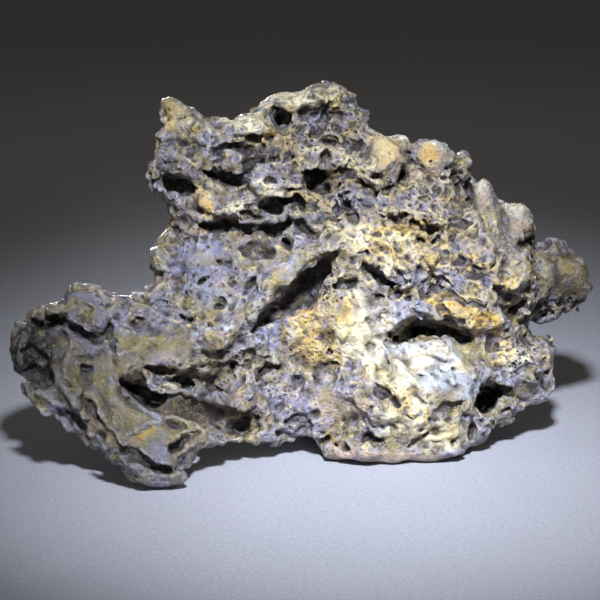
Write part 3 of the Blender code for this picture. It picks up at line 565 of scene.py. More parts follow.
def fine_shape(field):
    """Crumbles every edge: a small warp, sharp grains and thin shelves."""
    source = field.values.copy()

    def change(points):
        foot = fade_at_feet(points)
        places = to_face(points)
        drag = drifts(points, 2.9, 203)
        sponge, worn = zone(places, "sponge"), zone(places, "worn")
        moved = points + drag * (FINE_WARP * foot * (1 - 0.7 * np.clip(worn, 0, 1)))[:, None]
        shaped = field.sample(moved, source)
        rough = np.clip(0.85 + 0.4 * sponge - 0.75 * worn, 0.15, 1.3)
        relief = 0.5 * (ridged(moved, 3.1, 240) - 0.45) * rough
        relief += 0.3 * noise(moved, 1.7, 250) * rough
        flow = ridged(layered(moved, ARM_DIP), (14.0, 1.7, 6.0), 260, 1)
        relief += 0.42 * (flow - 0.5) * np.clip(zone(places, "flowing"), 0, 1)
        return shaped - relief * foot

    field.reshape_band(FINE_BAND, change)


# ---------------------------------------------------------------- relief placed one by one

# name: rows of (across, up, how far it stands out, radius across, up, out, roll in degrees)
SWELLINGS = {
    "knob": [(-46.5, 72, 1.5, 6.4, 4.1, 4.5, -25)],
    "lavender_lump": [(-35.6, 62.2, 2.2, 4.1, 5.6, 4.1, 15)],
    "cheek_ball": [(-34.5, 36.8, 3, 4.3, 3.9, 4.1, 0)],
    "lower_shelf": [(-22.5, 32.2, 1.2, 6, 2.2, 3.8, -8)],
    "wall_ball": [(-52.1, 16.1, 1.6, 3.4, 4.9, 3.4, 0)],
    "wall_swell": [(-35.6, 13.1, 1.2, 9, 5.2, 6, -20)],
    "brow_block": [(7.5, 54.4, 1.4, 11.2, 4.5, 6, -8), (-16.9, 64.5, 1.6, 8.2, 3.4, 4.5, 10)],
    "amber_lobe": [(31.5, 55.5, 2.4, 6.4, 7.1, 6, 20), (36.8, 57, 1.6, 4.5, 4.9, 4.5, 0)],
    "shoulder_lobes": [(51, 53.2, 2.2, 6.4, 6.4, 5.6, 0), (60.8, 50.6, 1.6, 4.1, 5.6, 4.5, -10)],
    "right_lobes": [(69, 37.5, 1.6, 4.9, 6.8, 5.2, 10), (81.8, 29.6, 1.8, 6, 7.1, 5.6, 20)],
    "tip_mass": [
        (85.5, -3, 0, 3.4, 6.8, 4.9, 0), (90, -1.5, 0.4, 4.9, 7.9, 5.6, 0),
        (94.9, -0.8, 0.4, 5.2, 6.8, 6, 5), (100.5, 0.8, 0.5, 4.5, 4.5, 5.6, -15),
        (105, 4.1, 0.5, 3.4, 3.8, 4.5, -30),
    ],
    "tip": [
        (103.9, 14.2, 1.6, 3.8, 3, 3.8, 0), (105, 6, 1.4, 3.4, 3, 3.8, 0),
        (100.5, 11.2, 1.8, 8.2, 5.6, 6, -30), (92.2, 9, 1.4, 4.9, 6.8, 4.9, 0),
    ],
    "round_spot": [(-32.6, -15.4, 1.8, 5.2, 4.1, 3.8, 0)],
    "hook_knob": [(-31.1, -31.9, 1.6, 1.9, 1.9, 1.9, 0)],
    "hanging_lobes": [
        (-79.5, -4.5, 3, 8.6, 3.4, 4.5, -38), (-61.5, -5.2, 2, 5.6, 4.9, 4.1, 0),
        (-48, 0, 1.4, 5.2, 4.5, 3.8, 0),
    ],
    "ear_bump": [(-98.2, -14.6, 1.8, 3.4, 3, 3, 0)],
    "flap": [(-56.2, -51, 2, 17.2, 6.4, 6, -32)],
    "heel": [(-52.5, -66.8, 1.5, 9, 3.4, 4.5, 0)],
    "slot_floor": [
        (-46.5, -39, 3.4, 6.4, 3.4, 5.2, -14), (-39.8, -40.5, 3.8, 6.4, 3.4, 5.2, -14),
        (-33, -42, 4, 6, 3.4, 5.2, -12), (-27, -42.8, 3.4, 4.5, 3, 4.5, 0),
    ],
    "base_pads": [
        (24.8, -57, 1.6, 6.8, 3, 4.5, 0), (12, -57.4, 1.4, 3.8, 2.2, 3.4, 0),
        (48.8, -57, 1, 12.8, 2.6, 4.5, 0),
    ],
    "belly": [(-3, -35.6, 1.2, 10.5, 7.5, 6, 0)],
}

# the same rows, scooped away
SCOOPS = {
    "cheek": [(-46.1, 43.9, 1.6, 5.6, 2.6, 3.8, -12)],
    "mouth": [(-28.1, 45.8, 2.5, 9.8, 3.4, 5.2, -8)],
    "knob_neck": [(-48, 56.2, 1.2, 5.2, 3.8, 4.5, 0)],
    "brown_hollow": [(-16.5, 18.4, 4.2, 7.5, 4.5, 5.6, -10)],
    "crest_patch": [(17.2, 69, 1.8, 4.9, 5.6, 4.9, 0)],
    "sponge_bank": [(-10.5, 56.2, 1.6, 9, 4.1, 4.9, 0)],
    "great_recess": [(6.8, 43.5, 2.4, 7.1, 4.5, 5.2, 0)],
    "arch_recess": [(1.5, 4.1, 3.6, 5.2, 12.8, 6, -45)],
    "mid_basin": [(16.9, 33, 1.2, 6.8, 3.8, 4.5, -20)],
    "ear_bowl": [(-96.8, -16.5, 4.4, 6.8, 10.1, 6.8, 0)],
    "ear_low": [(-98.2, -27.8, 2.4, 5.2, 6.8, 5.2, 0)],
    "below_flap": [(-81, -49.5, 3.2, 12.8, 4.1, 5.2, -42)],
    "slot": [(-43.1, -41.2, 1.5, 17.2, 4.1, 6, -22)],
    "white_face": [(48, -24.8, 1, 8.2, 6, 6, -15)],
    "column_basin": [(63.8, 10.5, 1.5, 8.2, 3, 4.1, -12)],
    "tip_tooth": [(109.9, 7.5, 12, 1.9, 2.2, 9.8, 0), (108.8, 10.5, 3, 1.9, 1.9, 3.8, 0)],
    "lower_right": [(82.5, -24.8, 1.5, 9, 6.8, 5.6, 0)],
    "arch_under": [(0, -49.5, 1.6, 9.8, 3, 4.5, 0)],
}

# name: (height, [(across, up, radius), ...]) of thin lips and cords that stand out
LIPS = {
    "fin": (2.2, [
        (-13.9, 51.4, 0.8), (-15.8, 48, 1.3), (-16.9, 44.2, 1.6), (-15.8, 40.5, 1.7), (-13.5, 37.5, 1.4),
    ]),
    "shelf_left": (2, [
        (-33, 32.6, 1.4), (-27.8, 31.5, 1.6), (-22.5, 30, 1.3), (-18, 28.9, 1), (-13.5, 28.9, 1),
        (-9.4, 28.9, 1.2),
    ]),
    "brow_edge": (2, [
        (6.8, 49.1, 0.7), (11.2, 49.5, 0.7), (16.5, 50.2, 0.9), (20.2, 49.1, 0.9), (23.2, 46.9, 1),
        (26.2, 43.1, 1), (29.2, 41.2, 0.9),
    ]),
    "recess_spur": (1.8, [(10.1, 46.9, 0.9), (12.8, 45, 1), (15.8, 43.1, 1)]),
    "arch_cord": (3.4, [
        (16.9, 21.8, 1.4), (13.1, 21.4, 1.7), (9.4, 19.9, 2), (5.2, 17.6, 2.4), (1.1, 15, 2.8),
        (-2.6, 12, 3.4), (-6.4, 9, 3.6), (-10.1, 6, 3.4), (-13.1, 2.6, 2.8), (-15.8, -1.1, 2.1),
        (-18.8, -5.6, 1.7),
    ]),
    "arch_branch": (1.8, [
        (17.2, 19.9, 0.8), (21.4, 19.5, 0.9), (25.1, 18.4, 0.9), (27.8, 14.2, 0.9), (30.8, 11.2, 0.9),
        (34.1, 8.6, 0.9),
    ]),
    "ochre_ridge_a": (1.6, [(31.9, 22.5, 1.1), (36.8, 25.1, 1.1), (42, 26.2, 1), (46.5, 24, 0.9)]),
    "ochre_ridge_b": (1.6, [(35.6, 14.2, 1), (39, 10.5, 1), (41.2, 6, 1.1), (39, 3.8, 0.9)]),
    "ochre_ridge_c": (1.6, [(43.1, 14.2, 1), (48, 14.2, 1.2), (52.5, 16.5, 1)]),
    "ochre_ridge_d": (1.6, [(45, -3, 1), (48.8, -4.9, 1.1), (53.2, -6.8, 1)]),
    "ochre_ridge_e": (1.5, [
        (52.5, 0, 1.1), (58.1, -1.9, 1.3), (63.8, -3.8, 1.1), (69.4, -6.8, 1), (73.5, -9.8, 0.8),
    ]),
    "belly_column": (2.4, [(-17.2, -24, 1), (-17.6, -28.5, 1.2), (-18.8, -33, 1.4), (-20.2, -36.8, 1.7)]),
    "slot_ledge": (4.4, [
        (-57, -31.1, 0.6), (-53.6, -32.6, 1), (-50.2, -33.4, 1.3), (-46.5, -34.1, 1.4),
        (-42.8, -34.9, 1.1), (-39, -36.4, 0.8),
    ]),
    "slot_roof": (1.6, [(-57.8, -28.9, 0.7), (-53.6, -28.9, 0.9), (-49.5, -29.2, 0.8)]),
    "slot_lip": (1.8, [
        (-71.2, -29.6, 0.9), (-66.8, -34.1, 1.1), (-61.5, -38.6, 1.3), (-55.5, -42, 1.4),
        (-48.8, -44.2, 1.4), (-42.8, -46.1, 1.3), (-37.5, -49.1, 1.2), (-32.6, -51.4, 1.1),
        (-27.8, -52.9, 1),
    ]),
    "flap_fold_a": (1.3, [(-48, -51.8, 1), (-44.2, -49.9, 1.2), (-40.5, -49.1, 1)]),
    "flap_fold_b": (1.6, [(-45.8, -58.5, 1), (-42, -55.5, 1.2), (-37.5, -53.6, 1.2), (-33, -52.9, 1)]),
    "flap_fold_c": (1.2, [(-65.6, -50.6, 1), (-60.8, -48.8, 1.1), (-56.2, -45.8, 1.1), (-52.5, -46.5, 1)]),
    "ear_rim": (2.6, [
        (-87.8, -4.1, 1), (-91.9, -3.8, 1.4), (-96.8, -4.1, 1.6), (-101.2, -6.4, 1.7), (-105, -11.2, 1.7),
        (-107.2, -16.1, 1.4), (-108, -21, 1),
    ]),
    "ear_rim_low": (1.6, [(-105, -34.1, 0.9), (-101.2, -37.5, 1), (-97.5, -40.5, 1), (-93.8, -43.5, 1)]),
    "flow_a": (1.4, [
        (-86.2, -13.5, 0.8), (-85.9, -18.8, 0.9), (-87.4, -23.2, 0.9), (-87.8, -27.8, 0.8),
        (-86.2, -31.1, 0.7),
    ]),
    "flow_b": (1.5, [
        (-91.5, -17.2, 0.7), (-92.6, -23.2, 0.8), (-90.8, -30, 0.9), (-87.8, -34.5, 0.9),
        (-84, -38.6, 0.9), (-81, -43.5, 0.9), (-78, -49.1, 0.9), (-73.5, -55.1, 0.8),
    ]),
    "flow_c": (1.2, [(-101.2, -23.2, 0.8), (-98.2, -22.9, 0.8), (-95.2, -24.8, 0.8)]),
    "flow_d": (1.2, [(-101.2, -31.5, 0.8), (-97.5, -30.8, 0.9), (-93.8, -32.2, 0.8)]),
    "flow_e": (1.3, [
        (-99, -34.5, 0.8), (-94.5, -36.8, 0.9), (-90, -39.8, 0.9), (-85.5, -45, 0.9), (-82.5, -49.5, 0.8),
    ]),
    "hang_rim": (2, [(-78, 1.9, 0.8), (-75.4, -0.8, 1), (-73.1, -4.1, 1), (-71.6, -7.9, 0.8)]),
    "hang_edge": (1.7, [(-86.2, -6.4, 0.8), (-82.9, -9, 0.9), (-79.1, -11.2, 0.9), (-75.8, -12, 0.8)]),
    "arm_sweep": (1.5, [
        (-70.5, -21.8, 1), (-64.5, -19.5, 1.4), (-57, -16.5, 1.7), (-49.5, -12.8, 1.7),
        (-42.8, -10.1, 1.4), (-35.2, -8.6, 1.1),
    ]),
    "arm_sweep_b": (1.2, [(-83.2, -19.5, 0.8), (-78, -19.5, 0.9), (-73.5, -17.2, 0.8)]),
    "crescent_lid": (1.2, [
        (46.5, -7.5, 0.7), (50.6, -6.8, 0.9), (55.1, -7.5, 1), (59.2, -9, 1), (63.4, -12, 0.9),
    ]),
    "crescent_lip": (1.7, [
        (36.8, -18.8, 1), (41.2, -18, 1.3), (45.8, -16.5, 1.4), (50.2, -15.8, 1.4), (54.8, -17.2, 1.1),
    ]),
    "column_a": (1.8, [(69, 28.5, 1.7), (70.9, 22.5, 2), (71.6, 17.2, 2), (70.1, 13.5, 1.7)]),
    "column_b": (1.4, [(74.6, 25.5, 1.3), (76.1, 20.2, 1.4), (76.1, 15.8, 1.4), (74.2, 10.9, 1.4)]),
    "column_c": (2, [(83.6, 18, 1.5), (84, 12, 1.7), (82.9, 6.4, 1.7), (78.8, 3.8, 1.4)]),
    "jowl_strip": (1.7, [
        (75, -42.8, 1), (79.5, -40.5, 1.4), (84.4, -39, 1.4), (90, -35.6, 1.4), (94.5, -33, 1),
    ]),
    "foot_ridge": (1.6, [(67.1, -49.5, 1.4), (70.5, -46.1, 1.4), (73.9, -42.4, 1.2)]),
    "jowl_rim": (1.4, [(96, -14.2, 0.8), (97.5, -17.6, 0.8), (96.8, -21.8, 0.8)]),
    "grain_a": (1.3, [(43.1, -45, 0.7), (49.5, -46.5, 0.8), (55.1, -45.8, 0.7)]),
    "grain_b": (1.3, [(48.8, -52.5, 0.7), (54, -51, 0.8), (59.2, -50.2, 0.7)]),
    "cream_ridge_a": (1.4, [(16.9, 0, 1.1), (19.5, -4.5, 1.5), (18.8, -9.8, 1.5), (16.5, -14.2, 1.3)]),
    "cream_ridge_b": (1.4, [(23.2, -6.8, 1.3), (24.8, -12.8, 1.5), (23.2, -18.8, 1.4)]),
    "white_fold_a": (1.6, [(40.5, -21, 0.7), (45, -19.5, 0.9), (50.2, -19.9, 0.9), (54.8, -22.5, 0.8)]),
    "white_fold_b": (1.5, [(52.5, -24.8, 0.7), (55.9, -27.8, 0.9), (57.4, -32.2, 0.8)]),
    "white_fold_c": (1.6, [(36.8, -27, 0.8), (41.2, -29.2, 0.9), (45, -33, 0.9), (48, -37.5, 0.8)]),
    "white_fold_d": (1.4, [(45, -27, 0.6), (48.8, -29.2, 0.8), (51.8, -33, 0.7)]),
    "cream_fold_a": (1.1, [(27, -38.2, 0.8), (32.2, -40.5, 1), (37.5, -44.2, 0.9), (42.8, -48.8, 0.8)]),
    "cream_fold_b": (1, [(19.5, -30, 0.8), (24, -33, 0.9), (28.5, -36.8, 0.8)]),
    "cream_ridge_c": (1.3, [(28.5, -15.8, 0.9), (31.5, -19.5, 1.1), (36, -23.2, 1.1), (39, -27.8, 1.1)]),
}

# name: (depth, [(across, up, radius), ...]) of holes and clefts, all shaded inside, in part by painted
# shade
HOLES = {
    "knob_hole": (2.6, [(-51, 69.4, 0.9), (-49.5, 67.9, 0.9)]),
    "knob_under": (2.2, [(-52.5, 58.5, 1), (-48.8, 59.6, 1.1), (-44.6, 59.2, 0.8)]),
    "cheek_recess": (4.5, [(-51.4, 44.2, 1.1), (-48, 43.1, 1.7), (-44.6, 42.4, 1.7), (-41.2, 41.6, 1.3)]),
    "mouth": (6, [
        (-36.4, 47.6, 1), (-32.2, 46.9, 1.7), (-27.4, 45.4, 2.1), (-22.9, 44.2, 1.7), (-19.9, 46.5, 1.7),
        (-18.8, 49.9, 1.7), (-17.2, 52.9, 1.5), (-13.5, 52.9, 1),
    ]),
    "brow_pocket": (5, [
        (-31.5, 55.1, 1.4), (-29.2, 54.4, 1.7), (-27, 56.6, 1.4), (-23.2, 57.4, 1), (-19.5, 56.6, 1),
    ]),
    "crest_hole": (6.5, [(-8.6, 70.1, 1.6), (-6.4, 68.2, 2.2), (-4.5, 66.8, 1.7)]),
    "face_hole": (7.5, [(-12.8, 34.9, 1.5), (-10.1, 34.5, 2.6), (-7.5, 34.5, 2.1), (-10.1, 32.6, 1.5)]),
    "face_slot": (5, [(-21, 33, 1.1), (-18.8, 32.2, 1.4), (-16.5, 30.8, 1.2), (-14.2, 30.8, 0.8)]),
    "small_window": (3, [(-23.6, 40.5, 1)]),
    "small_slit": (2.2, [(-11.2, 43.1, 0.7), (-8.6, 43.5, 0.7)]),
    "long_cleft": (6.5, [
        (-35.6, 27.8, 1.3), (-31.9, 27, 1.7), (-27.8, 27.4, 1.8), (-24, 27.8, 1.8), (-20.2, 27, 1.5),
        (-16.5, 26.6, 1.4), (-12.8, 25.9, 1.4), (-9.8, 25.5, 1.7), (-6.4, 26.2, 1.4), (-3.4, 27.8, 1),
    ]),
    "cleft_end": (4.5, [(-6, 21.4, 1.5), (-3.8, 20.6, 1.1)]),
    "dark_pocket_a": (5.5, [(-1.1, 36.4, 1.7), (1.1, 35.2, 1.4)]),
    "dark_pocket_b": (5, [(0, 28.9, 1), (2.2, 26.6, 1.7), (4.9, 25.5, 1.4)]),
    "edge_notch": (2, [(-51, 35.2, 0.8)]),
    "under_cheek": (3, [(-42, 35.6, 1), (-39.4, 34.9, 1), (-37.1, 33.4, 0.8)]),
    "wall_curl": (2.4, [(-31.9, 15.4, 0.7), (-29.2, 14.2, 0.9), (-26.2, 13.5, 0.7)]),
    "wall_nick_a": (3, [(-36.8, 6.4, 0.9), (-34.9, 7.5, 0.7)]),
    "wall_nick_b": (3.5, [(-20.2, 4.5, 0.9), (-18, 7.1, 0.9)]),
    "wall_nick_c": (2.6, [(-42, 2.2, 0.7)]),
    "wall_nick_d": (3, [(-32.2, -3, 0.7), (-29.6, -2.6, 0.9)]),
    "arm_root_slit": (4, [(-45, -5.2, 0.6), (-42, -6.8, 1), (-39, -5.6, 0.7)]),
    "arm_root_pit": (2, [(-46.5, -10.1, 0.7)]),
    "arch_groove": (3.4, [
        (12.4, 18, 1.2), (10.5, 15.4, 1.9), (8.6, 12, 2.6), (6.4, 8.6, 3.4), (3.8, 5.2, 3.6),
        (0.4, 2.2, 3.4), (-3.4, -0.4, 2.8), (-6.4, -2.2, 2),
    ]),
    "arch_tail": (2.4, [(-9.4, -3.4, 1.1), (-11.6, -6.4, 0.8), (-13.5, -9.8, 0.6)]),
    "arch_top": (3, [
        (14.2, 19.5, 0.9), (16.9, 18.4, 0.9), (19.9, 17.6, 0.9), (22.5, 17.6, 0.9), (25.5, 16.1, 1),
    ]),
    "crest_pit_a": (2.5, [(0, 73.5, 0.9)]),
    "crest_pit_b": (3.6, [(-1.1, 64.1, 1.2), (0.8, 64.9, 1.2)]),
    "crest_band": (3.2, [
        (11.2, 78, 1), (12.4, 76.1, 1), (10.5, 72, 1), (9, 68.2, 1.2), (6.8, 64.5, 1.4), (4.5, 62.2, 1.4),
    ]),
    "crest_shade": (3, [(15, 73.9, 0.7), (17.6, 75, 0.9), (20.2, 75, 0.7)]),
    "sponge_pits_a": (3, [(3.8, 58.5, 0.9)]),
    "sponge_pits_b": (3, [(10.1, 58.1, 0.8), (12.8, 58.9, 0.8)]),
    "sponge_pits_c": (3, [(16.1, 54.4, 1), (18.4, 55.1, 0.8)]),
    "sponge_pits_d": (3, [(19.5, 58.1, 1), (21.8, 58.9, 0.9)]),
    "sponge_pits_e": (3, [(9.8, 55.5, 0.8), (8.2, 50.6, 0.8)]),
    "sponge_pits_f": (3, [(-2.6, 49.1, 0.9), (-1.1, 51, 0.7)]),
    "sponge_pits_g": (3.4, [(-4.9, 58.1, 1)]),
    "sponge_pits_h": (3.4, [(-3.4, 53.2, 1), (-6, 53.6, 0.9)]),
    "sponge_pits_i": (3.4, [(-12, 60.4, 0.9)]),
    "sponge_pits_j": (3.2, [(-15.8, 56.2, 0.9), (-13.5, 57.4, 0.8)]),
    "sponge_pits_k": (3.2, [(-9, 53.2, 1)]),
    "great_recess": (6.5, [
        (1.9, 48, 1), (5.2, 46.9, 1.7), (8.2, 44.6, 2.1), (5.6, 42.4, 2.1), (2.6, 41.2, 1.7),
        (7.5, 40.5, 1.7), (10.5, 42, 1.7),
    ]),
    "brow_recess": (5.5, [(14.2, 47.6, 1.2), (16.9, 48, 1.6), (19.5, 47.6, 1.6), (21.4, 46.5, 1)]),
    "lobe_under": (4.6, [
        (27, 45.4, 0.8), (28.9, 46.1, 0.9), (31.9, 43.5, 1), (34.5, 42.8, 1.2), (36.8, 44.6, 0.9),
        (39, 46.5, 1),
    ]),
    "lobe_trace": (2.8, [(22.5, 45.8, 0.7), (24.8, 43.1, 0.9), (27, 41.2, 0.9), (30, 40.1, 0.7)]),
    "lobe_side": (4, [(40.1, 54.4, 1), (40.9, 52.1, 1.2), (39, 50.2, 0.9)]),
    "mid_a": (3, [(-1.1, 44.6, 0.7), (-3, 41.2, 0.7)]),
    "mid_b": (2.6, [(18.8, 40.1, 0.9), (16.1, 38.6, 0.7)]),
    "mid_c": (3.4, [(18.8, 35.2, 1), (16.5, 34.5, 1.4), (15, 33, 1.2)]),
    "mid_d": (2, [(22.5, 37.1, 0.5), (26.2, 36, 0.6)]),
    "mid_e": (3.4, [(35.2, 30.4, 1), (38.2, 31.1, 1.2), (40.9, 32.2, 0.8)]),
    "mid_f": (3.4, [(48, 25.9, 0.8), (49.9, 27, 1), (52.1, 27.8, 0.9)]),
    "mid_g": (3.2, [(42, 22.5, 1), (45, 21.4, 0.9), (48, 19.9, 0.7)]),
    "mid_h": (3.2, [(52.1, 22.9, 1), (49.9, 20.6, 0.9)]),
    "mid_i": (3.4, [(57, 29.6, 0.9), (59.6, 28.5, 1.4), (62.6, 28.1, 1)]),
    "mid_j": (2.2, [(58.1, 13.1, 0.7), (60.4, 13.9, 0.9)]),
    "mid_k": (2.8, [(51.4, 8.6, 1), (53.6, 7.1, 0.9)]),
    "mid_l": (2.6, [(58.9, 10.1, 0.9), (62.2, 8.6, 1), (66, 8.2, 0.9)]),
    "mid_m": (2.2, [(70.1, 6.4, 0.9)]),
    "mid_n": (2.4, [(39, -1.1, 0.7), (42, 0, 0.7)]),
    "mid_o": (2.6, [(46.9, 1.1, 0.9), (49.5, 1.9, 0.7)]),
    "mid_p": (2, [(39, -3.4, 0.7)]),
    "mid_q": (2, [(29.2, 1.1, 0.7), (32.2, 1.5, 0.6)]),
    "mid_r": (2.4, [(14.2, 4.5, 0.7), (16.9, 4.9, 1), (19.9, 5.6, 0.7)]),
    "mid_s": (2, [(61.9, -7.9, 0.7)]),
    "mid_t": (2.2, [(8.2, 14.2, 0.8), (11.2, 12, 0.8)]),
    "mid_u": (2.4, [(24.4, 12, 0.8), (26.6, 10.1, 0.8)]),
    "ribbon_hollow": (4.6, [(27.8, 9.4, 1), (30, 8.2, 1.3), (33, 6.4, 1.2), (35.2, 4.5, 0.9)]),
    "round_hole": (5, [(36.8, 1.9, 1.5)]),
    "crescent": (6, [
        (33.8, -12.8, 1), (34.9, -15.4, 1.1), (37.5, -15.8, 0.9), (40.5, -15.8, 0.9), (43.5, -14.2, 1.2),
        (45.4, -12, 1.4), (47.6, -10.5, 1), (50.2, -12.4, 0.8), (52.9, -14.2, 0.8),
    ]),
    "crescent_wing": (1.3, [
        (48.8, -11.6, 1.6), (51, -13.1, 1.6), (53.6, -14.6, 1.4), (52.9, -10.5, 1), (57, -10.9, 0.9),
        (60.4, -12.8, 0.9), (63, -14.6, 0.6),
    ]),
    "column_slit": (8, [(63.8, 42.4, 1.3), (64.1, 39.8, 1.4), (63.4, 36.8, 1)]),
    "shoulder_pits": (2.6, [(49.5, 51.8, 0.9)]),
    "shoulder_pit_b": (2.2, [(55.1, 49.9, 0.7)]),
    "shoulder_pit_c": (1.8, [(51, 56.6, 0.6)]),
    "lobe_foot": (4.6, [(82.1, 21.4, 0.9), (85.1, 21.4, 1.2), (87.4, 23.2, 0.9)]),
    "column_crease_a": (2, [(74.2, 38.2, 0.4), (75.4, 34.5, 0.5), (77.2, 30.4, 0.7)]),
    "column_crease_b": (1.6, [(66.8, 32.2, 0.5), (69, 29.6, 0.5), (70.1, 25.5, 0.4)]),
    "tip_groove": (4, [
        (89.2, 24, 0.6), (88.5, 18.8, 0.6), (87.8, 13.1, 0.7), (86.6, 7.5, 0.7), (84.8, 3, 0.8),
    ]),
    "column_foot": (2.4, [(72.8, 3.4, 0.9), (75, 1.9, 1), (77.6, 0.8, 1), (80.2, 0, 0.8)]),
    "under_tip": (4.5, [(77.6, -7.9, 0.8), (79.5, -6, 1), (81.8, -3.8, 1.1), (84, -1.5, 1.1)]),
    "under_tip_b": (3.4, [
        (83.2, -9.4, 1), (86.2, -8.2, 1.1), (89.2, -6.8, 1.3), (92.2, -5.2, 1.3), (95.6, -4.1, 1.1),
    ]),
    "jowl_slit": (6, [(92.2, -12.4, 0.9), (93.4, -15, 1), (94.5, -17.6, 1), (96, -18.8, 0.7)]),
    "jowl_nick_a": (3, [(90, -24.4, 0.8), (91.5, -22.9, 0.7)]),
    "jowl_nick_b": (3, [(88.5, -29.2, 0.8), (91.1, -28.5, 0.9), (93.4, -27.4, 0.7)]),
    "foot_hole": (7.5, [
        (66.8, -37.9, 1.4), (69.4, -39, 2.6), (72, -37.5, 2.8), (74.6, -35.2, 2.1), (70.5, -41.6, 2),
    ]),
    "foot_hole_top": (4, [(67.5, -33, 1.1), (71.6, -32.2, 1.4), (75.4, -31.5, 1)]),
    "foot_slit": (2.2, [(53.6, -40.5, 0.8), (56.6, -39.8, 0.9), (59.6, -39.4, 0.7)]),
    "foot_crack_a": (3, [(65.2, -46.5, 0.5), (64.9, -49.5, 0.5), (64.1, -52.9, 0.5)]),
    "foot_crack_b": (1.4, [(47.6, -50.2, 0.6), (44.2, -52.1, 0.6), (41.2, -54.8, 0.6)]),
    "foot_crack_c": (2, [(56.6, -54.4, 0.6), (58.5, -53.2, 0.5)]),
    "foot_nick": (2.4, [(76.1, -42.8, 0.8), (78, -42, 0.7)]),
    "ear_arc": (2.4, [
        (-101.6, -10.1, 0.8), (-98.2, -8.2, 1), (-94.5, -7.5, 1), (-90.8, -7.5, 1), (-87.4, -8.2, 0.7),
    ]),
    "ear_nick": (3, [(-89.6, -12, 0.8), (-87.8, -13.5, 0.7)]),
    "ear_floor": (2.2, [
        (-103.5, -20.2, 1.4), (-99.8, -20.2, 1.7), (-96, -21, 1.7), (-98.2, -25.5, 1.7),
        (-102, -28.5, 1.4), (-96, -27.8, 1.4),
    ]),
    "hang_under": (3, [
        (-85.9, -9.4, 0.4), (-83.6, -10.9, 0.6), (-81, -12.8, 0.7), (-78.4, -14.2, 0.7),
        (-75.8, -15, 0.5),
    ]),
    "hang_notch": (3.4, [(-73.9, -13.9, 0.7), (-72.4, -12.4, 0.9), (-71.2, -10.1, 0.8)]),
    "hang_hollow": (2.2, [(-83.6, 0, 0.9), (-81.8, -1.9, 0.8), (-78.8, -4.5, 0.7)]),
    "hang_hollow_b": (2.2, [(-67.1, -0.8, 0.8), (-64.9, -1.1, 1)]),
    "arm_pit": (3, [(-80.6, -26.6, 1.1), (-78.8, -25.9, 0.8)]),
    "arm_pit_b": (2, [(-85.9, -32.6, 0.7)]),
    "arm_crease": (1.2, [(-71.2, -15, 0.4), (-70.5, -19.5, 0.4), (-70.9, -24.4, 0.4)]),
    "slot": (8, [
        (-67.9, -31.1, 0.6), (-64.5, -32.2, 1.1), (-61.1, -34.1, 1.8), (-57.8, -36, 2.4),
        (-54.8, -37.9, 2.4), (-52.1, -38.6, 1.7),
    ]),
    "slot_right": (3, [
        (-33, -47.6, 1.1), (-29.6, -49.1, 1.4), (-26.2, -50.2, 1.7), (-23.2, -49.5, 1.7),
        (-21.4, -47.6, 1.4),
    ]),
    "slot_tail": (3, [(-20.2, -43.1, 1.9), (-18, -42, 2), (-15.8, -44.2, 1.3)]),
    "slit": (4, [
        (-57.8, -26.2, 0.5), (-55.1, -26.6, 0.7), (-52.5, -26.6, 0.8), (-49.9, -26.6, 0.8),
        (-47.2, -27.4, 0.7),
    ]),
    "slit_end": (4.6, [(-48, -30.4, 0.6), (-45.4, -30.4, 0.8), (-43.1, -30.4, 1.2), (-41.2, -32.6, 1.3)]),
    "arm_nick_a": (2, [(-42, -25.9, 0.7), (-40.1, -25.9, 0.5)]),
    "arm_nick_b": (3, [(-26.2, -26.6, 0.9), (-24.4, -25.1, 0.6)]),
    "hook": (2, [(-32.6, -29.6, 0.5), (-34.1, -31.9, 0.8), (-32.2, -34.1, 0.5), (-29.6, -34.1, 0.4)]),
    "flap_crease_a": (2.2, [
        (-48.8, -48, 0.4), (-46.5, -47.2, 0.6), (-44.2, -47.2, 0.6), (-42, -48.4, 0.4),
    ]),
    "flap_crease_b": (2.6, [
        (-48.4, -56.2, 0.5), (-46.1, -54.8, 0.7), (-43.9, -52.9, 0.7), (-41.2, -51.8, 0.6),
        (-37.9, -51.4, 0.4),
    ]),
    "flap_step": (4, [
        (-81, -36.8, 0.8), (-78, -42, 1), (-75.8, -46.9, 1.1), (-72.8, -51.4, 1.2), (-69.8, -54.4, 1.2),
    ]),
    "heel_gap": (4.6, [
        (-66.8, -56.2, 1), (-63, -58.1, 1.2), (-59.2, -60, 1.2), (-55.5, -62.6, 1), (-51.8, -64.1, 0.9),
        (-48, -64.1, 0.7),
    ]),
    "belly_curve": (4, [
        (-15.8, -33, 0.7), (-15, -30, 0.9), (-13.9, -27, 1), (-10.9, -24.8, 1.2), (-7.9, -24.8, 0.7),
    ]),
    "belly_line": (1.6, [(-18.4, -24, 0.5), (-19.9, -28.5, 0.5)]),
    "belly_arch": (4, [
        (-5.2, -45.4, 0.7), (-3.4, -44.2, 0.9), (-1.1, -43.9, 1), (1.1, -45.4, 1), (2.6, -48, 1.1),
    ]),
    "belly_hole": (2.6, [(4.1, -43.5, 1), (6.4, -43.1, 1.2)]),
    "belly_nick": (2, [(-0.4, -48.8, 0.7), (1.1, -49.9, 0.6)]),
    "belly_notch": (3, [(10.5, -51.4, 1), (9, -53.6, 1.3)]),
    "base_notch": (4, [(13.1, -55.9, 0.9), (15.8, -55.1, 1.4), (17.2, -57, 1)]),
    "base_slit": (3, [(23.6, -52.9, 0.6), (26.2, -51.8, 0.8), (28.9, -51.8, 0.9), (31.1, -53.2, 0.9)]),
    "cream_hole_a": (2, [(28.9, -33, 0.6), (30.4, -33.8, 1), (32.2, -34.9, 0.9), (31.1, -36, 0.7)]),
    "cream_hole_b": (2.2, [(34.9, -37.9, 0.5), (36.4, -39, 0.7), (37.5, -40.5, 0.4)]),
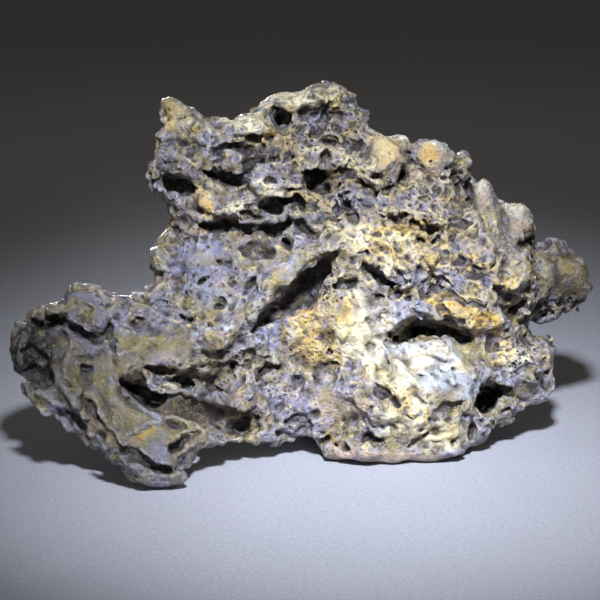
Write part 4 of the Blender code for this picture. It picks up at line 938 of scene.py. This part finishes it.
    "belly_dot_a": (1.6, [(-7.9, -19.1, 0.6)]),
    "belly_dot_b": (1.6, [(-2.6, -19.1, 0.6)]),
    "belly_dash": (2, [(-2.6, -30.4, 0.6), (0.4, -30.4, 0.7)]),
}


LOOK_START, LOOK_END = 80.0, -60.0  # how far out of the face the looks begin and end
SHAKE = 0.28  # how far a route's places stray, in radii
UNEVEN = (0.65, 1.25)  # least and most of a route's radius
ROUTE_STEP = 0.5  # between a route's places, in radii
SWELL_BLEND = 2.0
LIP_BLEND = 1.0
HOLE_BLEND = 0.7


def rolled(roll):
    """The face's axes, turned about the way out of it."""
    turn = math.radians(roll)
    first = ACROSS * math.cos(turn) + UP * math.sin(turn)
    return np.stack((first, UP * math.cos(turn) - ACROSS * math.sin(turn), OUT))


def swell_and_scoop(field):
    for table, carve in ((SWELLINGS, False), (SCOOPS, True)):
        rows = np.array([row for rows in table.values() for row in rows], np.float32)
        for place, (_, _, height, wide, tall, deep, roll) in zip(*face_hits(field, rows)):
            shift = (deep - height) if carve else (height - deep)
            centre = to_world(place + np.array((0, 0, shift), np.float32))
            field.ellipsoid(centre, rolled(roll), (wide, tall, deep), SWELL_BLEND, carve)


def along(points, rng):
    """Close places along a route of (across, up, radius), each a little off and a little uneven."""
    steps = [np.asarray(points[0], np.float32)]
    for start, end in zip(points, points[1:]):
        a, b = np.asarray(start, np.float32), np.asarray(end, np.float32)
        count = max(1, math.ceil(float(np.linalg.norm(b - a)) / (ROUTE_STEP * min(a[2], b[2]))))
        steps += [a + (b - a) * ((i + 1) / count) for i in range(count)]
    steps = np.stack(steps)
    steps[:, :2] += rng.normal(0, SHAKE, (len(steps), 2)) * steps[:, 2:]
    steps[:, 2] *= rng.uniform(*UNEVEN, len(steps))
    return steps


def face_hits(field, spots):
    """Where the camera's looks at these (across, up, ...) first meet the stone, and which ones do."""
    hit = np.zeros(len(spots), bool)
    places = np.zeros((len(spots), 3), np.float32)
    for out in np.arange(LOOK_START, LOOK_END, -VOXEL / 2, dtype=np.float32):
        still = np.flatnonzero(~hit)
        if not len(still):
            break
        places[still, :2] = spots[still, :2] * (1 - out / CAMERA_DISTANCE)
        places[still, 2] = out
        hit[still] = field.sample(to_world(places[still])) < 0
    return places[hit], spots[hit]


def spots_of(table, seed):
    """Every place along a table's routes: across, up, radius, and the route's height or depth."""
    rng = np.random.default_rng(seed)
    spots = [np.insert(along(points, rng), 3, amount, axis=1) for amount, points in table.values()]
    return np.concatenate(spots)


def add_lips(field):
    for place, (_, _, radius, height) in zip(*face_hits(field, spots_of(LIPS, 5))):
        centre = to_world(place + np.array((0, 0, height - radius), np.float32))
        field.ellipsoid(centre, FACE_AXES, (radius, radius, radius), LIP_BLEND, carve=False)


def cut_holes(field):
    for place, (_, _, radius, depth) in zip(*face_hits(field, spots_of(HOLES, 6))):
        centre = to_world(place - np.array((0, -0.1 * depth, 0.25 * depth), np.float32))
        field.ellipsoid(centre, FACE_AXES, (radius, radius, depth * 0.9), HOLE_BLEND, carve=True)


# ---------------------------------------------------------------- thousands of small pits and grains

def surface_spots(points, triangles, count, rng):
    """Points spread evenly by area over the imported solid."""
    a, b, c = (points[triangles[:, k]] for k in range(3))
    areas = np.linalg.norm(np.cross(b - a, c - a), axis=1)
    pick = rng.choice(len(triangles), count, p=areas / areas.sum())
    u, v = rng.random(count), rng.random(count)
    fold = u + v > 1
    u[fold], v[fold] = 1 - u[fold], 1 - v[fold]
    spots = a[pick] + u[:, None] * (b - a)[pick] + v[:, None] * (c - a)[pick]
    return spots.astype(np.float32)


# kind: (how many tries, least radius, most radius, depth ratio, stretch, blend)
PITS = {
    "caves": (110, 1.5, 2.8, 1.1, 1.9, 0.7),
    "cells": (5200, 0.8, 1.6, 1.05, 1.9, 0.5),
    "pores": (15000, 0.5, 0.9, 1.3, 1.6, 0.3),
}
# kind: (its chance anywhere, more in spongy rock, more in ledged rock, less in worn rock)
PIT_CHANCES = {
    "caves": (0.35, 0.6, 0.2, 0.9),
    "cells": (0.16, 0.95, 0.2, 0.8),
    "pores": (0.30, 0.7, 0.1, 0.45),
}
PIT_LEAST_HEIGHT = 3.5  # above the ground
SETTLED = 0.5  # how near the surface a pit's spot must lie
GRAIN_TRIES = 800
GRAIN_LEAST_HEIGHT = 4
GRAIN_BLEND = 0.9


def pit_chance(places, kind):
    anywhere, spongy, ledged, worn = PIT_CHANCES[kind]
    chance = anywhere + spongy * zone(places, "sponge") + ledged * zone(places, "ledged")
    return np.clip(chance - worn * zone(places, "worn"), 0.02, 1)


def tangents(normals, rng):
    """Two axes across each normal, the first one roughly along the layers."""
    layer = np.array((math.cos(DIP), 0, math.sin(DIP)), np.float32)
    wish = layer + rng.normal(0, 0.7, normals.shape).astype(np.float32)
    first = wish - normals * (wish * normals).sum(1, keepdims=True)
    first /= np.maximum(np.linalg.norm(first, axis=1, keepdims=True), 1e-6)
    return first, np.cross(normals, first)


def pit_all(field, points, triangles):
    """Caves, cells and pores that crowd together, each cave and cell with a smaller one beside it."""
    rng = np.random.default_rng(7)
    for kind, (tries, least, most, depth, stretch, blend) in PITS.items():
        spots, normals = field.settle(surface_spots(points, triangles, tries, rng))
        places = to_face(spots)
        clump = 0.5 + 0.9 * noise(spots, 11.0, 90) + 0.6 * noise(spots, 5.0, 91)
        chance = pit_chance(places, kind) * np.clip(clump + 0.35, 0.05, 1.3)
        keep = (rng.random(tries) < chance) & (spots[:, 2] > PIT_LEAST_HEIGHT)
        keep &= np.abs(field.sample(spots)) < SETTLED
        radius = least + (most - least) * rng.random(tries) ** 2.2
        keep &= field.sample(spots - normals * (radius * depth * 1.7)[:, None]) < -0.9 * radius
        length = radius * (1 + (stretch - 1) * rng.random(tries))
        sink = rng.uniform(0.0, 0.5, tries)
        side = rng.uniform(-1.3, 1.3, (tries, 2))
        first, second = tangents(normals, rng)
        for n in np.flatnonzero(keep & (radius > 0.75 * VOXEL)):
            axes = (first[n], second[n], normals[n])
            centre = spots[n] - normals[n] * radius[n] * sink[n]
            field.ellipsoid(centre, axes, (length[n], radius[n], radius[n] * depth), blend, carve=True)
            if kind != "pores":
                beside = centre + (first[n] * side[n, 0] + second[n] * side[n, 1]) * radius[n]
                radii = np.array((0.7, 0.7, 0.9 * depth)) * radius[n]
                field.ellipsoid(beside, axes, radii, blend, carve=True)


def grain_all(field, points, triangles):
    """Small knobs that stand on the surface between the pits."""
    rng = np.random.default_rng(11)
    spots, normals = field.settle(surface_spots(points, triangles, GRAIN_TRIES, rng))
    chance = np.clip(0.6 - 0.5 * zone(to_face(spots), "worn"), 0.05, 1)
    keep = (rng.random(GRAIN_TRIES) < chance) & (spots[:, 2] > GRAIN_LEAST_HEIGHT)
    radius = 0.8 + 1.1 * rng.random(GRAIN_TRIES) ** 2
    first, second = tangents(normals, rng)
    for n in np.flatnonzero(keep):
        centre = spots[n] - normals[n] * radius[n] * 0.6
        axes = (first[n], second[n], normals[n])
        field.ellipsoid(centre, axes, (radius[n] * 1.8, radius[n], radius[n]), GRAIN_BLEND, carve=False)


# ---------------------------------------------------------------- from field to mesh

def main_part(count, corners):
    """Which of the points belong to the largest joined part. Corners has four of them a face."""
    label = np.arange(count)
    while True:
        least = label[corners].min(1)
        new = label.copy()
        np.minimum.at(new, corners.ravel(), np.repeat(least, 4))
        new = new[new]
        if (new == label).all():
            break
        label = new
    names, sizes = np.unique(label, return_counts=True)
    return label == names[sizes.argmax()]


def skin_of(field):
    """The field's surface in millimetres: points, quads and triangles, with no crumbs or bubbles."""
    values = np.clip(field.values, -SKIN_BAND, SKIN_BAND)
    heights = field.low[2] + VOXEL * np.arange(values.shape[2], dtype=np.float32)
    np.maximum(values, -heights[None, None, :], out=values)
    np.clip(values, -SKIN_BAND, SKIN_BAND, out=values)
    grid = openvdb.FloatGrid(SKIN_BAND)
    grid.copyFromArray(values)
    points, triangles, quads = grid.convertToPolygons(isovalue=0.0, adaptivity=0.0)
    points = field.low + points * np.float32(VOXEL)
    corners = np.concatenate((quads.astype(np.int64), triangles[:, [0, 1, 2, 2]].astype(np.int64)))
    keep = main_part(len(points), corners)
    rename = np.cumsum(keep) - 1
    quads, triangles = (rename[faces[keep[faces[:, 0]]]] for faces in (quads, triangles))
    return points[keep], quads, triangles


def build_mesh(name, points, quads, triangles):
    mesh = bpy.data.meshes.new(name)
    loops = np.concatenate((quads.ravel(), triangles.ravel())).astype(np.int32)
    sizes = np.concatenate((np.full(len(quads), 4), np.full(len(triangles), 3)))
    starts = (np.cumsum(sizes) - sizes).astype(np.int32)
    mesh.vertices.add(len(points))
    mesh.vertices.foreach_set("co", (points * MM).astype(np.float32).ravel())
    mesh.loops.add(len(loops))
    mesh.loops.foreach_set("vertex_index", loops)
    mesh.polygons.add(len(sizes))
    mesh.polygons.foreach_set("loop_start", starts)
    mesh.update(calc_edges=True)
    mesh.validate()
    return mesh


def thin(obj, ratio, protected=None):
    """Collapses an object's mesh to a share of its triangles, away from the protected vertices."""
    modifier = obj.modifiers.new("thin", "DECIMATE")
    modifier.ratio = ratio
    if protected is not None:
        group = obj.vertex_groups.new(name="free")
        group.add(np.flatnonzero(~protected).tolist(), 1.0, "REPLACE")
        modifier.vertex_group = group.name
        modifier.vertex_group_factor = PROTECTION
    graph = bpy.context.evaluated_depsgraph_get()
    made = bpy.data.meshes.new_from_object(obj.evaluated_get(graph))
    obj.modifiers.clear()
    obj.vertex_groups.clear()
    old, obj.data = obj.data, made
    bpy.data.meshes.remove(old)


def vertex_data(mesh):
    """A mesh's vertices in millimetres, and their normals."""
    points = np.empty(len(mesh.vertices) * 3, np.float32)
    normals = np.empty(len(mesh.vertices) * 3, np.float32)
    mesh.vertices.foreach_get("co", points)
    mesh.vertices.foreach_get("normal", normals)
    return points.reshape(-1, 3) / MM, normals.reshape(-1, 3)


def seen_from_front(points, normals):
    """Vertices that face the viewer of the display face, or nearly."""
    return (normals @ OUT > FRONT_LEAST_FACING) & (to_face(points)[:, 2] > -FRONT_DEPTH)


def count_triangles(mesh):
    return sum(max(0, len(p.vertices) - 2) for p in mesh.polygons)


def drop_fins(mesh):
    """Takes away the stray faces that thinning can leave, each held by one edge alone."""
    shape = bmesh.new()
    shape.from_mesh(mesh)
    fins = [
        face for face in shape.faces
        if sum(len(edge.link_faces) == 1 for edge in face.edges) >= len(face.verts) - 1
    ]
    bmesh.ops.delete(shape, geom=fins, context="FACES")
    shape.to_mesh(mesh)
    shape.free()


def thin_skin(obj):
    """Keeps more of the triangle budget on the display side."""
    on_the_front = 2 * len(obj.data.polygons) * seen_from_front(*vertex_data(obj.data)).mean()
    thin(obj, min(1.0, FRONT_TRIANGLES / on_the_front))
    total = count_triangles(obj.data)
    if total > ALL_TRIANGLES:
        thin(obj, ALL_TRIANGLES / total, seen_from_front(*vertex_data(obj.data)))
    drop_fins(obj.data)


# ---------------------------------------------------------------- colour

def linear(*rgb):
    """A colour read as 8-bit sRGB, as linear light."""
    values = np.array(rgb, np.float32) / 255
    return np.where(values <= 0.04045, values / 12.92, ((values + 0.055) / 1.055) ** 2.4)


COLOURS = {
    "stone": linear(132, 124, 118),
    "lavender": linear(142, 144, 174),
    "golden": linear(222, 184, 78),
    "cream": linear(252, 242, 208),
    "amber": linear(214, 184, 118),
    "olive": linear(152, 140, 88),
    "pale_blue": linear(196, 206, 220),
    "beige": linear(166, 154, 138),
    "brown": linear(100, 78, 50),
    "orange": linear(214, 156, 52),
    # painted shade colours, for creases, hollows, holes, pores and dimmed places
    "shade_brown": linear(56, 47, 41),
    "shade_black": linear(24, 20, 19),
    "rust": linear(104, 86, 62),
    "rim": linear(232, 208, 138),
    # painted highlight: pale and bluish, for proud rims
    "painted_highlight": linear(214, 220, 232),
    "rosy": linear(204, 176, 156),
}


def mix(colour, name, amount):
    share = np.clip(amount, 0, 1)[:, None]
    return colour * (1 - share) + COLOURS[name] * share


def smooth(values, low, high):
    t = np.clip((values - low) / (high - low), 0, 1)
    return t * t * (3 - 2 * t)


def blurred(values, rounds):
    for _ in range(rounds):
        for axis in range(3):
            moved = np.moveaxis(values, axis, 0)
            new = moved.copy()
            new[1:-1] = 0.25 * moved[:-2] + 0.5 * moved[1:-1] + 0.25 * moved[2:]
            values = np.moveaxis(new, 0, axis)
    return values


FINE_REACH, FINE_ROUNDS = 4, 3  # how far distances count, and how often they are blurred
BROAD_REACH, BROAD_ROUNDS = 8, 5


def proudness(field, points):
    """How proud (+) or how hollow (-) each point is, at a fine and at a broad scale."""
    clipped = np.clip(field.values, -FINE_REACH, FINE_REACH)
    fine = field.sample(points, blurred(clipped, FINE_ROUNDS)) - field.sample(points, clipped)
    coarse = np.clip(field.values, -BROAD_REACH, BROAD_REACH)[::REFINE, ::REFINE, ::REFINE]
    coarse = np.ascontiguousarray(coarse)
    q = (points - field.low) / COARSE
    cells = tuple(np.clip(np.rint(q).astype(int), 0, np.array(coarse.shape) - 1).T)
    return fine, blurred(coarse, BROAD_ROUNDS)[cells] - coarse[cells]


# the zones that colour the stone, in the order they are laid on
ZONE_COLOURS = ("olive", "beige", "lavender", "golden", "cream", "pale_blue", "rosy", "amber", "rust")


def ground_colour(points, places, near):
    """Grey, lavender and olive drifts, with the coloured zones over them, weaker at the back."""
    speck = fractal(points, 2.6, 150, 2)
    patch = fractal(points, 7.5, 160, 3)
    back = smooth(-places[:, 2], 10, 34)
    colour = np.repeat(COLOURS["stone"][None], len(points), 0)
    colour = mix(colour, "lavender", 0.75 * smooth(patch, -0.15, 0.6))
    colour = mix(colour, "olive", 0.75 * smooth(-patch, -0.05, 0.6))
    for name in ZONE_COLOURS:
        weight = zone(near, name) * (1 - 0.5 * back) * (0.62 + 0.5 * speck + 0.35 * patch)
        colour = mix(colour, name, smooth(weight, 0.12, 0.7))
    return colour, speck


def add_markings(colour, points, near, drift, lively, painted_dimming):
    """Golden veins, orange threads, cream blotches and specks of several colours."""
    warm = np.clip(zone(near, "golden") + 1.2 * zone(near, "amber"), 0, 1)
    veins = ridged(layered(points + drift, DIP), (16.0, 4.0, 10.0), 170)
    threads = ridged(points + 0.8 * drift, 5.5, 175)
    blotches = smooth(noise(points + 0.5 * drift, 5.0, 196), 0.05, 0.35)
    colour = mix(colour, "golden", 0.75 * smooth(veins, 0.4, 0.8) * (0.12 + 0.88 * lively))
    colour = mix(colour, "orange", 0.75 * smooth(threads, 0.5, 0.85) * warm)
    colour = mix(colour, "cream", 0.8 * blotches * np.clip(zone(near, "cream") + 0.35 * warm, 0, 1))
    colour = mix(colour, "rosy", 0.45 * smooth(noise(points, 4.6, 180), 0.35, 0.8))
    colour = mix(colour, "rust", 0.6 * smooth(noise(points, 3.6, 183), 0.25, 0.8) * (0.5 + 0.5 * lively))
    colour = mix(colour, "lavender", 0.55 * smooth(noise(points, 3.3, 186), 0.3, 0.8))
    specks = smooth(noise(points, 2.8, 189), 0.35, 0.8) * (0.3 + 0.7 * lively)
    # pale specks are fewer under painted shade
    return mix(colour, "rim", 0.5 * (specks * np.clip(1 - 1.2 * painted_dimming, 0, 1)))


def paint(field, points):
    """Colour and surface character at every vertex, with painted shade in hollows and dimmed places and a
    painted highlight on proud rims.
    """
    places = to_face(points)
    drift = 3.0 * drifts(points, 8.0, 120) + 1.4 * drifts(points, 2.6, 130)
    near = places + drift
    fine, broad = proudness(field, points)
    depth = -field.sample(points, field.base)
    lively = zone(near, "golden") + 0.5 * zone(near, "ledged") + 0.4 * zone(near, "sponge")
    lively = np.clip(lively - 0.4 * zone(near, "lavender"), 0, 1)
    painted_dimming = np.clip(zone(near, "painted_dimming"), 0, 1.3)

    colour, speck = ground_colour(points, places, near)
    colour = add_markings(colour, points, near, drift, lively, painted_dimming)
    brown = zone(places + 0.5 * drift, "brown") * (0.8 + 0.4 * speck)
    # painted shade laid where it falls, from its zones
    colour = mix(colour, "shade_brown", 0.8 * smooth(zone(near, "shade_brown"), 0.1, 0.8))
    colour = mix(colour, "brown", 0.85 * smooth(brown, 0.1, 0.8))
    # proud rims get a painted pale highlight in quiet rock and turn yellow in lively rock; hollows turn
    # brown with depth; painted shade then deepens creases, hollows, holes and the painted shadow zones
    colour = mix(colour, "painted_highlight", 0.36 * smooth(fine, 0.08, 0.35) * (1 - lively))
    colour = mix(colour, "rim", 0.8 * smooth(fine + 0.06 * speck, 0.06, 0.3) * lively)
    colour = mix(colour, "rust", 0.5 * smooth(depth, 2.0, 4.0))
    colour = mix(colour, "shade_brown", 0.8 * smooth(-fine, 0.05, 0.26))
    colour = mix(colour, "shade_brown", 0.7 * smooth(-broad, 0.25, 0.9))
    colour = mix(colour, "shade_black", 0.85 * smooth(-fine, 0.15, 0.42))
    colour = mix(colour, "shade_black", 0.9 * smooth(depth, 3.0, 6.0))
    colour = mix(colour, "shade_black", 0.9 * smooth(zone(places + 0.25 * drift, "painted_shadow"), 0.15, 0.75))
    # painted shade: the colour darkened where the light falls off and in shaded recesses
    colour = colour * (0.94 - 0.53 * painted_dimming)[:, None]

    worn = np.clip(zone(near, "worn"), 0, 1)
    characters = {
        "cavity": np.clip(smooth(-fine, 0.03, 0.3) + smooth(depth, 3.0, 6.0), 0, 1),
        # the worn attribute also takes in the painted shade, which quiets the texture there
        "worn": np.clip(worn + 0.8 * painted_dimming, 0, 1),
        "porous": np.clip(zone(near, "sponge") * 1.1 - 0.7 * worn, 0, 1),
    }
    return characters, colour


def add_attributes(mesh, characters, colour):
    layer = mesh.attributes.new("rock_colour", "FLOAT_COLOR", "POINT")
    with_alpha = np.concatenate((colour, np.ones((len(colour), 1), np.float32)), 1)
    layer.data.foreach_set("color", with_alpha.astype(np.float32).ravel())
    for name, values in characters.items():
        mesh.attributes.new(name, "FLOAT", "POINT").data.foreach_set("value", values.astype(np.float32))


# ---------------------------------------------------------------- materials

class Nodes:
    """A short way to make and join shader nodes."""

    def __init__(self, material):
        material.use_nodes = True
        self.tree = material.node_tree
        self.shader = self.tree.nodes["Principled BSDF"]

    def feed(self, node, inputs):
        """Links or sets a node's inputs, given by name or by number."""
        for name, value in inputs.items():
            if isinstance(value, bpy.types.NodeSocket):
                self.tree.links.new(value, node.inputs[name])
            else:
                node.inputs[name].default_value = value

    def add(self, kind, inputs=None, **settings):
        node = self.tree.nodes.new(kind)
        for name, value in settings.items():
            setattr(node, name, value)
        self.feed(node, inputs or {})
        return node

    def noise(self, place, scale, detail, roughness=0.5):
        return self.add("ShaderNodeTexNoise", {
            "Vector": place, "Scale": scale, "Detail": detail, "Roughness": roughness,
        }).outputs

    def attribute(self, name, output="Fac"):
        return self.add("ShaderNodeAttribute", attribute_name=name).outputs[output]

    def vector(self, operation, first, second):
        return self.add("ShaderNodeVectorMath", {0: first, 1: second}, operation=operation).outputs[0]

    def blend(self, share, first, second, how="MIX"):
        node = self.add("ShaderNodeMix", data_type="RGBA", blend_type=how)
        self.feed(node, {0: share, 6: first, 7: second})
        return node.outputs[2]

    def math(self, operation, *values):
        return self.add("ShaderNodeMath", dict(enumerate(values)), operation=operation).outputs[0]

    def product(self, first, *others):
        for other in others:
            first = self.math("MULTIPLY", first, other)
        return first

    def spread(self, value, low, high, out_low=0.0, out_high=1.0):
        """Maps low to high on to out_low to out_high, and holds it there beyond."""
        return self.add("ShaderNodeMapRange", {
            "Value": value, "From Min": low, "From Max": high, "To Min": out_low, "To Max": out_high,
        }).outputs[0]

    def bump(self, height, strength, distance):
        return self.add("ShaderNodeBump", {
            "Height": height, "Strength": strength, "Distance": distance,
        }).outputs["Normal"]

    def join(self, value, *sockets):
        for socket in sockets:
            self.tree.links.new(value, self.shader.inputs[socket])

    def set(self, **values):
        """Sets the shader's own values, named with _ for each space."""
        for name, value in values.items():
            self.shader.inputs[name.replace("_", " ")].default_value = value


CLOTH_LOW = (0.355, 0.365, 0.42, 1)
CLOTH_HIGH = (0.445, 0.455, 0.52, 1)
CLOTH_PATCH = (0.35, 0.355, 0.41, 1)


def rgba(name):
    return tuple(float(v) for v in COLOURS[name]) + (1.0,)


def rock_material():
    """Grit, sand, coloured flecks and micro pores over the painted colour, under a glossy coat; the pores
    are darkened as painted shade.
    """
    material = bpy.data.materials.new("etched_glossy_rock")
    n = Nodes(material)
    cavity, worn, porous = (n.attribute(name) for name in ("cavity", "worn", "porous"))
    place = n.add("ShaderNodeTexCoord").outputs["Object"]
    swirl = n.noise(place, 340.0, 2.0)["Color"]
    place = n.vector("ADD", place, n.vector("MULTIPLY", swirl, (0.0016,) * 3))
    grit = n.noise(place, 620.0, 5.0, 0.68)["Fac"]
    fleck = n.noise(place, 380.0, 3.0, 0.6)["Fac"]
    sand = n.noise(place, 1500.0, 3.0, 0.6)["Fac"]
    hues = n.add("ShaderNodeSeparateColor", {"Color": n.noise(place, 300.0, 3.0, 0.6)["Color"]}).outputs
    pores = n.add("ShaderNodeTexVoronoi", {"Vector": place, "Scale": 560.0, "Randomness": 1.0})
    unworn = n.spread(worn, 0.2, 0.9, 1.0, 0.3)
    unhollowed = n.spread(cavity, 0.0, 0.5, 1.0, 0.0)

    # grain tone, partly the rock's own and partly painted shade and highlight: darker where the grit and
    # sand bump sinks, paler on its crests
    tone = n.product(n.spread(grit, 0.34, 0.66, 0.68, 1.27), n.spread(sand, 0.3, 0.7, 0.86, 1.14))
    tone = n.math("ADD", n.product(n.math("SUBTRACT", tone, 1.0), unworn), 1.0)
    grey = n.add("ShaderNodeCombineColor", {"Red": tone, "Green": tone, "Blue": tone}).outputs[0]
    cool = n.product(n.spread(hues[0], 0.52, 0.65, 0.0, 0.5), unworn)
    warm = n.product(n.spread(hues[1], 0.55, 0.65, 0.0, 0.5), unworn)
    flecked = n.product(n.spread(fleck, 0.57, 0.68, 0.0, 0.6), unhollowed, unworn)
    pit = n.product(n.spread(pores.outputs["Distance"], 0.22, 0.42, 1.0, 0.0), unworn)
    colour = n.blend(cool, n.attribute("rock_colour", "Color"), rgba("lavender"))
    colour = n.blend(warm, colour, rgba("rust"))
    colour = n.blend(1.0, colour, grey, "MULTIPLY")
    colour = n.blend(flecked, colour, rgba("rim"))
    # painted shade in the micro pores, strongest in porous rock
    colour = n.blend(n.product(pit, n.spread(porous, 0.0, 0.8, 0.35, 1.0)), colour, rgba("shade_brown"))
    n.join(colour, "Base Color")

    roughness = n.math("ADD", n.spread(grit, 0.3, 0.7, 0.42, 0.17), n.product(cavity, 0.3))
    n.join(roughness, "Roughness")
    height = n.math("SUBTRACT", n.product(grit, 1.2), n.product(pit, 0.45))
    height = n.math("ADD", height, n.product(fleck, 0.9))
    height = n.math("ADD", height, n.product(sand, 0.35))
    n.join(n.bump(height, 0.85, 0.0012), "Normal", "Coat Normal")
    n.set(IOR=1.54, Specular_IOR_Level=0.6, Coat_Weight=0.6, Coat_Roughness=0.13)
    return material


def cloth_material():
    """A fine nap on pale cloth, a little darker in broad patches."""
    material = bpy.data.materials.new("pale_cloth")
    n = Nodes(material)
    place = n.add("ShaderNodeTexCoord").outputs["Object"]
    nap = n.noise(place, 700.0, 3.0, 0.7)["Fac"]
    broad = n.noise(place, 18.0, 2.0)["Fac"]
    colour = n.blend(n.spread(nap, 0.35, 0.65), CLOTH_LOW, CLOTH_HIGH)
    colour = n.blend(n.spread(broad, 0.3, 0.7, 0.0, 0.3), colour, CLOTH_PATCH)
    n.join(colour, "Base Color")
    n.join(n.bump(nap, 0.4, 0.001), "Normal")
    n.set(Roughness=0.95, Specular_IOR_Level=0.15)
    return material


# ---------------------------------------------------------------- the piece and the studio

# the studio, in metres
FLOOR_HALF = 1.5
SKY_COLOUR = (0.064, 0.058, 0.048, 1)
CAMERA_NEAR = 0.02
# name: (place, target, size, energy, colour, spread in degrees)
LIGHTS = {
    "key": ((0.02, -0.45, 0.52), (0.024, -0.045, 0.062), 0.08, 0.41, (0.89, 0.93, 1.0), 36),
    "fill": ((-0.3, -0.8, 0.4), (-0.02, 0.0, 0.05), 0.4, 0.04, (0.95, 0.97, 1.0), 50),
    "back": ((-0.15, 0.75, 0.10), (0.0, 0.0, 0.065), 0.10, 0.03, (1.0, 0.98, 0.95), 20),
    "wash": ((-0.05, 0.75, 0.75), (0.0, 0.35, 0.0), 0.5, 0.07, (1.0, 0.94, 0.84), 80),
}


def make_stone():
    points, triangles = read_solid(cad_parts[NODE])
    field = Field(points, triangles)
    swell_and_scoop(field)
    add_lips(field)
    cut_holes(field)
    broad_shape(field)
    grain_all(field, points, triangles)
    pit_all(field, points, triangles)
    fine_shape(field)
    mesh = build_mesh("etched_stone", *skin_of(field))
    stone = bpy.data.objects.new("etched_stone", mesh)
    bpy.context.scene.collection.objects.link(stone)
    thin_skin(stone)
    points, _ = vertex_data(stone.data)
    add_attributes(stone.data, *paint(field, points))
    stone.data.shade_smooth()
    stone.data.materials.append(rock_material())
    print("stone:", count_triangles(stone.data), "triangles")
    return stone


def make_floor():
    mesh = bpy.data.meshes.new("cloth_floor")
    corners = [(x * FLOOR_HALF, y * FLOOR_HALF, 0) for x, y in ((-1, -1), (1, -1), (1, 1), (-1, 1))]
    mesh.from_pydata(corners, [], [(0, 1, 2, 3)])
    floor = bpy.data.objects.new("cloth_floor", mesh)
    bpy.context.scene.collection.objects.link(floor)
    mesh.materials.append(cloth_material())
    return floor


def aim(obj, place, target):
    obj.location = place
    obj.rotation_mode = "QUATERNION"
    obj.rotation_quaternion = (Vector(target) - Vector(place)).to_track_quat("-Z", "Y")
    bpy.context.scene.collection.objects.link(obj)


def area_light(name, place, target, size, energy, colour, spread):
    light = bpy.data.lights.new(name, "AREA")
    light.shape = "DISK"
    light.size = size
    light.energy = energy
    light.color = colour
    light.spread = math.radians(spread)
    made = bpy.data.objects.new(name, light)
    made.visible_camera = False
    aim(made, place, target)


def light_the_studio():
    for name, row in LIGHTS.items():
        area_light(name, *row)
    bpy.context.scene.view_settings.view_transform = "Standard"
    world = bpy.data.worlds.new("studio")
    bpy.context.scene.world = world
    world.use_nodes = True
    world.node_tree.nodes["Background"].inputs["Color"].default_value = SKY_COLOUR


def set_camera():
    camera = bpy.data.cameras.new("photo_view")
    camera.sensor_width = SENSOR
    camera.lens = SENSOR * CAMERA_DISTANCE / VIEW_WIDTH
    camera.clip_start = CAMERA_NEAR
    made = bpy.data.objects.new("photo_view", camera)
    target = FACE_MIDDLE * MM
    aim(made, target + OUT * (CAMERA_DISTANCE * MM), target)
    bpy.context.scene.camera = made


stone = make_stone()
floor = make_floor()
light_the_studio()
set_camera()
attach(stone, "root")
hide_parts(NODE)
